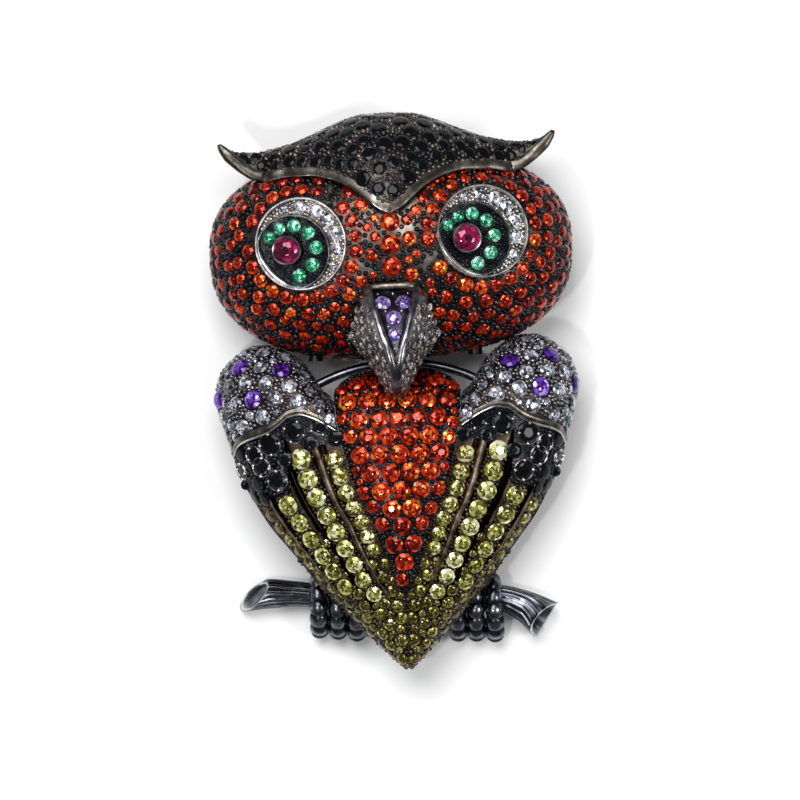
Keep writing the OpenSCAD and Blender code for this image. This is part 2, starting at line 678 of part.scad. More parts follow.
module shoulder(side) {
    color(black_metal) centred() on_side(side) difference() {
        plate(shoulder_grid(0), shoulder_grid(wall));
        seats_at(shoulder_all);
    }
}
module shoulder_left() { shoulder(-1); }
module shoulder_right() { shoulder(1); }
module shoulder_stones_left() { color(white_stone) centred() on_side(-1) stones_at(shoulder_places); }
module shoulder_stones_right() { color(white_stone) centred() on_side(1) stones_at(shoulder_places); }
module violet_stones_left() { color(violet_stone) centred() on_side(-1) stones_at(violet_places); }
module violet_stones_right() { color(violet_stone) centred() on_side(1) stones_at(violet_places); }

// Feathers run down the wing side by side, with a ridge between each pair
ridge_u = [0.225, 0.55, 0.83];
// Places of the wing's columns across it. The last one is the skirt below the outer edge.
wing_u = [0, 0.05, 0.12, 0.19, 0.225, 0.26, 0.33, 0.40, 0.46, 0.52, 0.55, 0.60, 0.70, 0.79, 0.83, 0.87, 0.94,
    1, 1.01];
ridge_half = 0.03;
function ridge(u) = ridge_h * max([for (r = ridge_u) max(0, 1 - abs(u - r) / ridge_half)]);
function wing_point(u, y, extra) = let (x = wing_x(min(u, 1), y))
    [x, y, u > 1 ? body_back : wing_z(x, y) + (ridge(u) + extra) * arch(u, 6)];
// A feather's stones lie on the wing at its own place, without the ridges
function feather_place(u, y, d) = let (e = slope_step, x = wing_x(u, y))
    sunk([[x, y, wing_z(x, y)],
        unit([wing_z(x - e, y) - wing_z(x + e, y), wing_z(x, y - e) - wing_z(x, y + e), 2 * e]), d]);

module collar(side) {
    function row(t, drop) = [for (u = wing_u)
        lowered(wing_point(u, mix(low_y(u) + 3 * seam, rim_y(u) - seam / 2, t), collar_step), u, drop)];
    color(black_metal) centred() on_side(side)
        plate([for (t = steps(2)) row(t, 0)], [for (t = steps(2)) row(t, wall)]);
}
module collar_left() { collar(-1); }
module collar_right() { collar(1); }

wing_steps = 14;
// A row for each feather. u: share across the wing. from and to: shares of wing_l.
// first and last: stone diameters, as shares of feather_stone_d
feather_rows = [
    [0.105, 0.356, 0.640, 0.84, 0.66],
    [0.400, 0.350, 0.775, 1.00, 0.78],
    [0.700, 0.490, 0.750, 0.98, 0.84],
    [0.920, 0.520, 0.690, 0.70, 0.66]
];
feather_gap = 0.16;
function on_feather(u, down) = feather_place(u, wing_top - down * wing_l, 0)[0];
// Distance travelled along a feather, for each unit of its share of wing_l
function feather_speed(u, down) = norm(on_feather(u, down + 0.01) - on_feather(u, down)) / 0.01;
function feather_stones(row, down) =
    let (t = (down - row[1]) / (row[2] - row[1]), d = feather_stone_d * mix(row[3], row[4], t))
    down > row[2] ? [] : concat(
        [feather_place(row[0], wing_top - down * wing_l, d)],
        feather_stones(row, down + (d + feather_gap) / feather_speed(row[0], down))
    );
feather_places = [for (r = feather_rows) each feather_stones(r, r[1])];

module wing(side) {
    function row(t, drop) = [for (u = wing_u)
        let (y = mix(wing_tip, low_y(u), t)) lowered(wing_point(u, y, 0), u, drop)];
    color(black_metal) centred() on_side(side) difference() {
        plate([for (t = steps(wing_steps)) row(t, 0)], [for (t = steps(wing_steps)) row(t, wall)]);
        seats_at(feather_places);
    }
}
module wing_left() { wing(-1); }
module wing_right() { wing(1); }
module feather_stones_left() { color(yellow_stone) centred() on_side(-1) stones_at(feather_places); }
module feather_stones_right() { color(yellow_stone) centred() on_side(1) stones_at(feather_places); }

// Perch

perch_y = wing_tip + perch_up;
branch_z = branch_r + 0.02;
branch_start = -0.52;
// A row for each section of the branch. x: share of branch_l from its left end. up and front:
// shares of branch_r that its axis moves. thick: share of branch_r.
branch_rows = [
    [0.000, 0.30, 0.20, 1.20],
    [0.055, 0.45, 0.18, 1.17],
    [0.140, 0.35, 0.05, 1.02],
    [0.240, 0.12, 0.00, 0.95],
    [0.400, -0.10, 0.00, 0.98],
    [0.520, -0.15, 0.00, 1.00],
    [0.700, -0.25, 0.00, 1.00],
    [0.850, -0.45, 0.05, 1.03],
    [0.930, -1.20, 0.30, 1.27],
    [1.000, -2.25, 0.62, 1.58]
];
branch_sides = 12;
bark_depth = 0.05;
function branch_x(share) = branch_l * (branch_start + share);
branch_path = [for (r = branch_rows)
    [branch_x(r[0]), perch_y + branch_r * r[1], branch_z + branch_r * r[2]]];
// Slant of the left cut: how far its front and its upper side lie back
cut_slant = [0.9, 0.7];
function branch_ring(i) =
    let (c = branch_path[i], r = branch_r * branch_rows[i][3],
         d = unit(branch_path[min(i + 1, len(branch_path) - 1)] - branch_path[max(i - 1, 0)]),
         u = unit([-d[1], d[0], 0]), slant = i == 0 ? 1 : 0)
    [for (k = [0 : branch_sides - 1])
        let (a = -360 / branch_sides * k, bark = 1 - bark_depth * (k % 2), up = r * cos(a) * bark,
             front = r * sin(a) * bark)
        c + u * up + [slant * (up * cut_slant[0] + front * cut_slant[1]), 0, front]];
module branch() {
    color(worn_metal) centred() loft([for (i = [0 : len(branch_rows) - 1]) branch_ring(i)]);
}
function branch_at(x, c) = column(branch_rows, x / branch_l - branch_start, c);

// Each toe passes over the branch and hangs down in front of the table
toe_r = toe_d / 2;
toe_space = 0.16;
toe_bulge = 1.12;
heel_share = 0.6;
foot_x = 6.25;
toe_sides = 10;
// A row for each section of a toe. up and front: place about the branch's axis, as shares of
// the distance between the two axes. thick: share of toe_r.
toe_rows = [
    [0.92, 0.22, 0.80],
    [0.72, 0.72, 0.95],
    [0.15, 1.02, 1.00],
    [-0.50, 1.00, 1.05],
    [-1.05, 0.72, 1.10],
    [-1.45, 0.30, 1.12],
    [-1.68, -0.05, 0.85]
];
module toe(x) {
    over = branch_r * branch_at(x, 3) + toe_r + fit + 0.05;
    axis = [x, perch_y + branch_r * branch_at(x, 1), branch_z + branch_r * branch_at(x, 2)];
    rod([for (r = toe_rows) axis + over * [0, r[0], r[1]]], [for (r = toe_rows) toe_r * r[2]],
        [1, 0, 0], toe_sides);
}
module foot(side) {
    pitch = toe_d * toe_bulge + toe_space;
    color(worn_metal) centred() union() {
        for (k = [-1 : 1]) toe(side * foot_x + k * pitch);
        heel_y = perch_y + branch_r * branch_at(side * foot_x, 1)
            + (branch_r + toe_r + fit) * toe_rows[1][0];
        heel_z = branch_z + (branch_r + toe_r) * toe_rows[1][1];
        translate([side * foot_x - pitch, heel_y, heel_z]) rotate([0, 90, 0])
            cylinder(r = toe_r * heel_share, h = 2 * pitch, $fn = 24);
    }
}
module foot_left() { foot(-1); }
module foot_right() { foot(1); }

// Neck, with the wire yoke that shows in the gap under the chin

// The post passes under the top edge of the breast
neck_z = lowered([0, breast_top, breast_z(0, breast_top)], 0, wall)[2] - neck_r - seam;
neck_in_body = 1.6;
neck_in_head = 0.3;
yoke_z = head_z0 + 0.5;
yoke_y = breast_top + chin_gap * 0.54;
yoke_bend = 16;
yoke_turn = 23.5;
module neck_bore() {
    translate([0, breast_top, neck_z]) rotate([-90, 0, 0])
        cylinder(r = neck_r + fit, h = chin_gap + wall + neck_in_head + past, $fn = 48);
}
module neck() {
    color(worn_metal) centred() union() {
        translate([0, breast_top - neck_in_body, neck_z]) rotate([-90, 0, 0])
            cylinder(r = neck_r, h = neck_in_body + chin_gap + wall + neck_in_head, $fn = 48);
        translate([0, yoke_y - yoke_bend, yoke_z]) rotate([0, 0, 90 - yoke_turn])
            rotate_extrude(angle = 2 * yoke_turn, $fn = 96) translate([yoke_bend, 0])
                circle(r = yoke_r, $fn = 24);
    }
}

// Pin, hinge and catch inside the head's open back, as one plain piece

pin_z = pin_r + 0.5;
pin_end_gap = 0.4;
hinge_t = 1.5;
hinge_w = 2.4;
module pin_clasp() {
    reach = inside_half(pin_z - pin_r) - pin_end_gap;
    color(worn_metal) centred() union() {
        translate([-reach, head_y, pin_z]) rotate([0, 90, 0]) cylinder(r = pin_r, h = 2 * reach, $fn = 32);
        for (side = [-1, 1]) translate([side * (reach - hinge_t / 2), head_y, pin_z + pin_r])
            cube([hinge_t, hinge_w, 4 * pin_r], center = true);
    }
}

head();
crest();
beak();
eye_left();
eye_right();
breast();
shoulder_left();
shoulder_right();
collar_left();
collar_right();
wing_left();
wing_right();
branch();
foot_left();
foot_right();
neck();
pin_clasp();
pupil_left();
pupil_right();
iris_stones_left();
iris_stones_right();
crescent_stones_left();
crescent_stones_right();
beak_stones();
forehead_stones();
breast_stones();
feather_stones_left();
feather_stones_right();
shoulder_stones_left();
shoulder_stones_right();
violet_stones_left();
violet_stones_right();
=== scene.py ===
# %% [markdown]
# # An owl brooch, pavé-set with coloured stones
# The real brooch is cast in silver, plated black and filled with hundreds of round stones, which
# tiny beads of metal hold in place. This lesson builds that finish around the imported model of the
# brooch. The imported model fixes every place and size. We take its bodies as they are, and dress
# each one with a finer mesh and a material of its own.

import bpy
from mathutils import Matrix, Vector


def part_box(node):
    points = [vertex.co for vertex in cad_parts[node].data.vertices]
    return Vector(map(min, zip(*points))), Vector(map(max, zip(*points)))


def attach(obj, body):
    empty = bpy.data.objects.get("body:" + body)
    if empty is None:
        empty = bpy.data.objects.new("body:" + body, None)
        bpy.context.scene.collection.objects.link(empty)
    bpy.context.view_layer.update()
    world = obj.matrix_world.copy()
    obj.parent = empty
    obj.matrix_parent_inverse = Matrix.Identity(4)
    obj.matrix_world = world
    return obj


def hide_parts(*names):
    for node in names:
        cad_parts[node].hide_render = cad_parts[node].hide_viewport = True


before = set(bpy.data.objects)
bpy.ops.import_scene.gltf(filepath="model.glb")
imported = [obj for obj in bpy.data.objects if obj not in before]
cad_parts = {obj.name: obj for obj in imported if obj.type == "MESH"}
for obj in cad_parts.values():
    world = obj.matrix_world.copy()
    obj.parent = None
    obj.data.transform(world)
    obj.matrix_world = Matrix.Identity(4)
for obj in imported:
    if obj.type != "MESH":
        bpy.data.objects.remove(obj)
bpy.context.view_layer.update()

# %% [markdown]
# ## Working in millimetres
# A jeweller thinks in millimetres, and Blender in metres. So every point below is computed in
# millimetres, with numpy arrays, and is made into metres once, where the mesh is made. +X runs to
# the picture's right, +Y up to the crest, and +Z comes out of the owl's face. The names of pieces
# say left and right as the picture shows them.

# %% Tools for shapes
import math

import bmesh
import bpy
import numpy as np
from mathutils import Matrix, Vector

MM = 0.001
TURN = 2 * math.pi
SIDES = ((-1, "left"), (1, "right"))


def mix(a, b, t):
    return a + (b - a) * t


def arch(t, power):
    """Height of a rounded section: 1 in its middle and 0 at its edge."""
    return np.maximum(0, 1 - np.minimum(1, np.abs(t)) ** power) ** (1 / power)


def signed_pow(a, power):
    return np.sign(a) * np.abs(a) ** power


def unit(v):
    return v / np.maximum(np.linalg.norm(v, axis=-1, keepdims=True), 1e-12)


def stack(x, y, z):
    return np.stack(np.broadcast_arrays(x, y, z), axis=-1).astype(float)


def along(rows, at, column):
    """Reads a column of a table on a smooth curve through its rows, which never overshoots them."""
    x = np.array([row[0] for row in rows], float)
    y = np.array([row[column] for row in rows], float)
    width = np.diff(x)
    slope = np.diff(y) / width
    lean = np.concatenate([slope[:1], np.zeros(len(x) - 2), slope[-1:]])
    same = slope[:-1] * slope[1:] > 0
    lean[1:-1][same] = 2 * slope[:-1][same] * slope[1:][same] / (slope[:-1][same] + slope[1:][same])
    at = np.clip(at, x[0], x[-1])
    k = np.clip(np.searchsorted(x, at, side="right") - 1, 0, len(x) - 2)
    t = (at - x[k]) / width[k]
    return ((2 * t**3 - 3 * t**2 + 1) * y[k] + (t**3 - 2 * t**2 + t) * width[k] * lean[k]
            + (3 * t**2 - 2 * t**3) * y[k + 1] + (t**3 - t**2) * width[k] * lean[k + 1])


# %% [markdown]
# ## Parts and pieces
# A piece of the brooch is one Blender object, and it may have several parts, such as a casting
# and the wires on it. Each part brings its points, its faces and its finish. Two numbers travel
# with the mesh as attributes. "wear" says how far the black plating has worn off at a point, and
# "sparkle" is painted reflection: how bright a facet of a stone is painted, for the light and dark
# that it would mirror from inside. The materials read both.

# %% Making a piece
BODY = "root"


def new_mesh(name, points, faces):
    """A mesh from points in millimetres."""
    mesh = bpy.data.meshes.new(name)
    mesh.from_pydata((np.asarray(points, float) * MM).tolist(), [], faces)
    return mesh


def add_object(name, data):
    added = bpy.data.objects.new(name, data)
    bpy.context.scene.collection.objects.link(added)
    return added


def part(points, faces, finish, smooth=True, wear=0.0, sparkle=0.0):
    points = np.asarray(points, float).reshape(-1, 3)
    return dict(points=points, faces=faces, finish=finish, smooth=smooth,
                wear=np.broadcast_to(np.asarray(wear, float).reshape(-1), len(points)),
                sparkle=np.broadcast_to(np.asarray(sparkle, float), len(faces)))


def make_piece(name, parts, stands_for=(), sharp=38, turn=True):
    """Joins parts into one object that rides on the brooch, in place of the named CAD nodes."""
    starts = np.cumsum([0] + [len(p["points"]) for p in parts[:-1]])
    mesh = new_mesh(name, np.vstack([p["points"] for p in parts]), [
        [start + i for i in face] for start, p in zip(starts, parts) for face in p["faces"]])
    finishes = []
    for p in parts:
        if p["finish"] not in finishes:
            finishes.append(p["finish"])
            mesh.materials.append(p["finish"])
    counts = [len(p["faces"]) for p in parts]
    mesh.polygons.foreach_set(
        "material_index", np.repeat([finishes.index(p["finish"]) for p in parts], counts))
    mesh.polygons.foreach_set("use_smooth", np.repeat([p["smooth"] for p in parts], counts))
    mesh.attributes.new("wear", "FLOAT", "POINT").data.foreach_set(
        "value", np.concatenate([p["wear"] for p in parts]))
    # Sparkle is the painted reflection and flash of each stone facet
    mesh.attributes.new("sparkle", "FLOAT", "FACE").data.foreach_set(
        "value", np.concatenate([p["sparkle"] for p in parts]))
    if turn:
        turn_outwards(mesh)
    mesh.set_sharp_from_angle(angle=math.radians(sharp))
    mesh.update()
    piece = add_object(name, mesh)
    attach(piece, BODY)
    if stands_for:
        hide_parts(*stands_for)
    print(f"{name}: {len(mesh.polygons)} faces")
    return piece


def stone_piece(name, parts, stands_for=()):
    """Stones come with their faces turned outwards, so that is left out for them."""
    make_piece(name, parts, stands_for, turn=False)


def turn_outwards(mesh):
    """Points every face of each closed shell away from its inside."""
    shell_mesh = bmesh.new()
    shell_mesh.from_mesh(mesh)
    bmesh.ops.recalc_face_normals(shell_mesh, faces=shell_mesh.faces)
    shell_mesh.to_mesh(mesh)
    shell_mesh.free()


# %% [markdown]
# ## Four ways to make metal
# Castings, wires and collets are all made in one of four ways here. A shell is a curved sheet with
# a wall thickness. A loft joins ring after ring. A sweep draws a rounded section along a path, as a
# wire is bent along a rim. A lathe turns a profile round an axis, as a collet is turned.

# %% Shells, lofts, sweeps and lathes
def shell(outer, inner):
    """A closed plate between two grids of points."""
    rows, columns = outer.shape[:2]
    at = np.arange(rows * columns).reshape(rows, columns)
    front = np.stack([at[:-1, :-1], at[:-1, 1:], at[1:, 1:], at[1:, :-1]], -1).reshape(-1, 4)
    back = front[:, ::-1] + rows * columns
    edge = np.concatenate([at[0, :-1], at[:-1, -1], at[-1, :0:-1], at[:0:-1, 0]])
    following = np.roll(edge, -1)
    rim = np.stack([following, edge, edge + rows * columns, following + rows * columns], -1)
    return (np.vstack([outer.reshape(-1, 3), inner.reshape(-1, 3)]),
            np.vstack([front, back, rim]).tolist())


def loft(rings, loop=False):
    """A closed body through rings of equally many points. A loop joins its last ring to its first."""
    count, sides = rings.shape[:2]
    at = np.arange(count * sides).reshape(count, sides)
    here = at if loop else at[:-1]
    there = np.roll(at, -1, 0) if loop else at[1:]
    quads = np.stack([here, np.roll(here, -1, 1), np.roll(there, -1, 1), there], -1)
    faces = quads.reshape(-1, 4).tolist()
    if not loop:
        faces += [at[0, ::-1].tolist(), at[-1].tolist()]
    return rings.reshape(-1, 3), faces


def sweep(path, up, half_width, half_height, sides=12, loop=False):
    """A rounded wire along a path. Its height stands along up, its width across the path."""
    ahead = (np.roll(path, -1, 0) - np.roll(path, 1, 0)) if loop else np.gradient(path, axis=0)
    side = unit(np.cross(ahead, np.broadcast_to(up, path.shape)))
    rise = unit(np.cross(side, ahead))
    angle = np.arange(sides) * TURN / sides
    wide = np.broadcast_to(half_width, len(path))[:, None, None]
    high = np.broadcast_to(half_height, len(path))[:, None, None]
    rings = (path[:, None] + side[:, None] * wide * np.cos(angle)[:, None]
             + rise[:, None] * high * np.sin(angle)[:, None])
    return loft(rings, loop)


def lathe(profile, sides=96, loop=False):
    """A profile of (radius, height) turned round the z axis."""
    angle = np.arange(sides) * TURN / sides
    rings = np.array([[(r * np.cos(a), r * np.sin(a), z) for a in angle] for r, z in profile])
    return loft(rings, loop)


def wire(finish, wear, path, up, half_width, half_height, sides=12, loop=False):
    """A sweep as a part. Its wear may differ from point to point of the path."""
    shape = sweep(path, up, half_width, half_height, sides, loop)
    return part(*shape, finish, wear=np.repeat(np.broadcast_to(wear, len(path)), sides))


# %% [markdown]
# ## Black plating and bare silver
# Black rhodium over silver is dark and blue-grey. It stays in the hollows between the stones, and
# rubs off where fingers and cloth reach, to brown and then to pale silver. So one material takes
# both: a ramp from black through brown to silver, read at the point's wear, and a noise breaks
# up the edge between them. A finer noise roughens the polish and lifts a slight casting grain.

# %% Metal
GRAIN_SIZE, GRAIN_DEPTH = 0.14, 0.03


def add_node(tree, kind, **sockets):
    node = tree.nodes.new(kind)
    for name, value in sockets.items():
        node.inputs[name.replace("_", " ")].default_value = value
    return node


def ramp_node(tree, stops):
    ramp = tree.nodes.new("ShaderNodeValToRGB")
    while len(ramp.color_ramp.elements) < len(stops):
        ramp.color_ramp.elements.new(0.5)
    for element, (position, colour) in zip(ramp.color_ramp.elements, stops):
        element.position = position
        element.color = (*colour, 1)
    return ramp


def colour_by(tree, number, stops, shader):
    """Colours a shader by a ramp that is read at a number from another node."""
    ramp = ramp_node(tree, stops)
    tree.links.new(number, ramp.inputs["Fac"])
    tree.links.new(ramp.outputs["Color"], shader.inputs["Base Color"])


def mesh_number(tree, name):
    node = tree.nodes.new("ShaderNodeAttribute")
    node.attribute_name = name
    return node.outputs["Fac"]


def map_range(tree, number, low, high, from_low=0.0, from_high=1.0):
    node = add_node(tree, "ShaderNodeMapRange", From_Min=from_low, From_Max=from_high,
                    To_Min=low, To_Max=high)
    tree.links.new(number, node.inputs["Value"])
    return node.outputs["Result"]


def new_material(name):
    material = bpy.data.materials.new(name)
    material.use_nodes = True
    return material, material.node_tree, material.node_tree.nodes["Principled BSDF"]


def metal(name, stops, patch=0.5, patch_size=0.9, smoothest=0.2, roughest=0.42, grain=0.12):
    """Plated silver. Patch is how much noise moves the wear, patch_size its size in millimetres."""
    material, tree, shader = new_material(name)
    place = tree.nodes.new("ShaderNodeTexCoord")
    blotch = add_node(tree, "ShaderNodeTexNoise", Scale=1 / (patch_size * MM), Detail=5.0)
    fine = add_node(tree, "ShaderNodeTexNoise", Scale=1 / (GRAIN_SIZE * MM), Detail=3.0)
    for noise in (blotch, fine):
        tree.links.new(place.outputs["Object"], noise.inputs["Vector"])
    shift = map_range(tree, blotch.outputs["Fac"], -patch / 2, patch / 2, 0.3, 0.7)
    worn = tree.nodes.new("ShaderNodeMath")
    worn.operation, worn.use_clamp = "ADD", True
    tree.links.new(mesh_number(tree, "wear"), worn.inputs[0])
    tree.links.new(shift, worn.inputs[1])
    colour_by(tree, worn.outputs[0], stops, shader)
    polish = map_range(tree, fine.outputs["Fac"], smoothest, roughest)
    tree.links.new(polish, shader.inputs["Roughness"])
    bump = add_node(tree, "ShaderNodeBump", Strength=grain, Distance=GRAIN_DEPTH * MM)
    tree.links.new(fine.outputs["Fac"], bump.inputs["Height"])
    tree.links.new(bump.outputs["Normal"], shader.inputs["Normal"])
    shader.inputs["Metallic"].default_value = 1.0
    return material


black_plating = metal("black_plating", [
    (0.0, (0.010, 0.011, 0.015)), (0.35, (0.050, 0.050, 0.055)),
    (0.62, (0.20, 0.165, 0.13)), (1.0, (0.66, 0.62, 0.56))])
brown_plating = metal("brown_plating", [
    (0.0, (0.016, 0.011, 0.009)), (0.35, (0.055, 0.036, 0.026)),
    (0.65, (0.19, 0.145, 0.105)), (1.0, (0.56, 0.50, 0.42))], smoothest=0.26, roughest=0.5)
grey_plating = metal("grey_plating", [
    (0.0, (0.020, 0.021, 0.027)), (0.4, (0.10, 0.10, 0.115)),
    (0.7, (0.30, 0.29, 0.29)), (1.0, (0.70, 0.68, 0.65))], smoothest=0.16, roughest=0.36)
rubbed_plating = metal("rubbed_plating", [
    (0.0, (0.026, 0.023, 0.021)), (0.4, (0.090, 0.079, 0.067)),
    (0.7, (0.25, 0.225, 0.19)), (1.0, (0.66, 0.63, 0.58))], smoothest=0.22, roughest=0.42)
gunmetal = metal("gunmetal", [
    (0.0, (0.030, 0.033, 0.043)), (0.45, (0.105, 0.110, 0.130)),
    (0.75, (0.26, 0.265, 0.285)), (1.0, (0.66, 0.66, 0.66))], smoothest=0.16, roughest=0.34)
print("metals:", [material.name for material in bpy.data.materials if "plating" in material.name])

# %% [markdown]
# ## Cut stones
# A round brilliant has a flat table, a crown of kites and triangles, a thin girdle and a deep
# pavilion. What the eye sees in it is a mosaic of light and dark, because the pavilion mirrors
# the room through the table. Tracing that through a thousand stones is slow and noisy. So the
# table is cut into a small mosaic too, and that mirrored light and dark is painted in: every facet
# carries its own sparkle, and the material turns sparkle into painted reflections and flashes over
# the stone's own colour, under a clear polished surface.

# %% The cut
PAVILION_SHARE = 0.42


def cut_stone(table, crown):
    """Points of a stone of diameter 1, its faces, and the zone of each face: 0 in the middle of
    the table, 1 round it, 2 on the crown, 3 below the girdle. Table is a width, crown a height."""
    def ring(radius, height, count, start=0.0):
        angle = (np.arange(count) + start) * TURN / count
        return stack(radius * np.cos(angle), radius * np.sin(angle), height)

    girdle = 0.014
    points = np.vstack([
        ring(table / 2, crown, 8), ring(table / 4 + 0.265, crown * 0.56, 8, 0.5),
        ring(0.5, girdle, 16), ring(0.5, -girdle, 16), ring(table * 0.24, crown, 8, 0.5),
        [[0, 0, crown], [0, 0, -PAVILION_SHARE]]])
    faces, zones = [], []

    def add(zone, *face):
        faces.append(list(face))
        zones.append(zone)

    for k in range(8):
        corner, after = k, (k + 1) % 8
        kite, before = 8 + k, 8 + (k - 1) % 8
        heart, last_heart = 48 + k, 48 + (k - 1) % 8
        g, h, n = 16 + 2 * k, 17 + 2 * k, 16 + (2 * k + 2) % 16
        add(1, corner, after, heart)
        add(1, corner, heart, last_heart)
        add(0, heart, 56, last_heart)
        add(2, corner, kite, after)
        add(2, corner, before, g, kite)
        add(2, kite, g, h)
        add(2, kite, h, n)
        for a, b in ((g, h), (h, n)):
            add(3, a, a + 16, b + 16, b)
            add(3, a + 16, 57, b + 16)
    return points, faces, np.array(zones)


def dome():
    """A bead of metal with radius 1: a ball that is left off where it sinks into the casting."""
    sides, levels = 8, [(0.42, 0.91), (0.80, 0.60), (1.0, 0.0), (0.80, -0.60)]
    angle = np.arange(sides) * TURN / sides
    rings = [stack(r * np.cos(angle), r * np.sin(angle), z) for r, z in levels]
    points = np.vstack([[[0, 0, 1]]] + rings)
    faces = [[0, 1 + k, 1 + (k + 1) % sides] for k in range(sides)]
    for level in range(len(levels) - 1):
        a = 1 + level * sides
        faces += [[a + k, a + sides + k, a + sides + (k + 1) % sides, a + (k + 1) % sides]
                  for k in range(sides)]
    faces.append([1 + 3 * sides + k for k in reversed(range(sides))])
    return points, faces


BRILLIANT = cut_stone(0.58, 0.17)
FLAT_CUT = cut_stone(0.74, 0.09)
BEAD_POINTS, BEAD_FACES = dome()
print("a stone has", len(BRILLIANT[1]), "facets, a bead", len(BEAD_FACES))

# %% [markdown]
# ## Places, and setting stones in them
# A place is a row of seven numbers: a point, the normal of the metal there, and a diameter. All
# stones of a field are made at once, as one joined mesh. Each is turned and tipped a little by
# seeded chance, as a setter's hand would leave it, so that neighbours flash differently.

# %% Setting
def join_places(points, normals, diameters):
    diameters = np.broadcast_to(diameters, len(points))
    return np.column_stack([points, normals, diameters])


def mirrored(places):
    return places * np.array([-1, 1, 1, -1, 1, 1, 1])


def frames(normals, spin):
    """For each normal two directions square to it, turned by spin."""
    reference = np.where(np.abs(normals[:, 2:3]) < 0.9, [[0.0, 0.0, 1.0]], [[0.0, 1.0, 0.0]])
    a = unit(np.cross(reference, normals))
    b = np.cross(normals, a)
    c, s = np.cos(spin)[:, None], np.sin(spin)[:, None]
    return a * c + b * s, b * c - a * s


def copies(places, points, faces, seed, tip):
    """Copies of one small mesh at all places, as one array of points and one list of faces."""
    rng = np.random.default_rng(seed)
    normals = unit(places[:, 3:6] + rng.normal(0, tip, (len(places), 3)))
    a, b = frames(normals, rng.uniform(0, TURN, len(places)))
    local = points[None] * places[:, 6, None, None]
    placed = (places[:, None, :3] + local[..., :1] * a[:, None] + local[..., 1:2] * b[:, None]
              + local[..., 2:] * normals[:, None])
    size = len(points)
    return placed.reshape(-1, 3), [[k * size + i for i in f] for k in range(len(places)) for f in faces]


def stones(places, finish, seed, zone_light=(0.47, 0.5, 0.55, 0.3), spread=0.5, lift=0.0, tip=0.05,
           cut=BRILLIANT, sides=0.30):
    """A field of stones. Zone_light is the mean painted sparkle of each zone, spread its variation,
    and sides how much painted shade darkens a stone where the metal under it stands upright."""
    rng = np.random.default_rng(seed + 1000)
    raised = places.copy()
    raised[:, :3] += places[:, 3:6] * lift * places[:, 6:]
    points, faces = copies(raised, cut[0], cut[1], seed, tip)
    zones = np.tile(cut[2], len(places))
    # Each stone's own random tone, less a painted shade where the metal under it stands upright
    own = rng.normal(0, spread * 0.2, len(places)) - sides * (1 - np.clip(places[:, 5], 0, 1))
    sparkle = (np.array(zone_light)[zones] + rng.uniform(-spread, spread, len(zones))
               + np.repeat(own, len(cut[1])))
    return part(points, faces, finish, smooth=False, sparkle=np.clip(sparkle, 0, 1))


def beads(places, finish, seed, height=0.8, sink=0.25, wear=0.12):
    """Beads of metal between the stones. Height is their height for their width."""
    rng = np.random.default_rng(seed)
    sunk = places.copy()
    sunk[:, 6] /= 2
    sunk[:, :3] -= places[:, 3:6] * sunk[:, 6:] * sink
    points, faces = copies(sunk, BEAD_POINTS * np.array([1, 1, height / 0.8]), BEAD_FACES, seed, 0.08)
    worn = np.repeat(wear + rng.uniform(-0.1, 0.15, len(places)), len(BEAD_POINTS))
    return part(points, faces, finish, wear=np.maximum(worn, 0))


# %% [markdown]
# ## Sharing out a surface
# A setter divides a surface so that the stones stand evenly. We do the same in three steps.
# `scatter` strews points evenly over a surface, `share_out` moves a chosen number of stones until
# each stands in the middle of its own patch, and `fill` puts the largest stone or bead that fits
# into each space that is left. The same `fill` finds the gaps between stones, where beads belong.
# Where the stones change in size over a field, a pitch says how wide the patches are at each point.

# %% Scatter, share out and fill
def surface_frame(surface, u, v, step=1e-3):
    """Points, normals and stretch of a surface. Its normal is the cross of its two directions."""
    across = surface(u + step, v) - surface(u - step, v)
    upwards = surface(u, v + step) - surface(u, v - step)
    cross = np.cross(across, upwards)
    return surface(u, v), unit(cross), np.linalg.norm(cross, axis=-1) / (4 * step**2)


def scatter(surface, u_span, v_span, count, seed, keep=None, density=None):
    """About count points, evenly spread over the surface, as places without a diameter."""
    rng = np.random.default_rng(seed)
    u, v = rng.uniform(*u_span, count * 8), rng.uniform(*v_span, count * 8)
    points, normals, stretch = surface_frame(surface, u, v)
    if density is not None:
        stretch = stretch * density(points)
    chance = stretch / np.quantile(stretch, 0.97) * 0.6
    chosen = rng.random(len(u)) < chance
    if keep is not None:
        chosen &= keep(points, u, v)
    picked = np.flatnonzero(chosen)[:count]
    return join_places(points[picked], normals[picked], 0)


def places_at(surface, u, v, diameters):
    points, normals, _ = surface_frame(surface, u, v)
    return join_places(points, normals, diameters)


def distances(a, b):
    square = (a * a).sum(1)[:, None] + (b * b).sum(1)[None] - 2 * a @ b.T
    return np.sqrt(np.maximum(square, 0))


def even(points):
    return np.ones(len(points))


def share_out(cloud, count, seed, rounds=24, pitch=even):
    """Chooses count places in the cloud, so that each stands in the middle of its own patch. The
    patches grow with the pitch at their middles."""
    rng = np.random.default_rng(seed)
    points = cloud[:, :3]
    wide = pitch(points)
    seeds = [int(rng.integers(len(points)))]
    near = np.linalg.norm(points - points[seeds[0]], axis=1) / wide
    while len(seeds) < count:
        seeds.append(int(near.argmax()))
        near = np.minimum(near, np.linalg.norm(points - points[seeds[-1]], axis=1) / wide)
    centres = points[seeds]
    for _ in range(rounds):
        owner = (distances(points, centres) / pitch(centres)).argmin(1)
        weight = np.bincount(owner, minlength=count)
        middle = np.stack([np.bincount(owner, points[:, k], count) for k in range(3)], 1)
        centres = middle / np.maximum(weight, 1)[:, None]
        centres = points[distances(points, centres).argmin(0)]
    return cloud[distances(points, centres).argmin(0)]


def sized(places, largest, gap):
    """Gives each place the largest diameter that keeps the gap to its nearest neighbour."""
    apart = distances(places[:, :3], places[:, :3])
    np.fill_diagonal(apart, 1e9)
    result = places.copy()
    result[:, 6] = np.minimum(largest, apart.min(1) - gap)
    return result


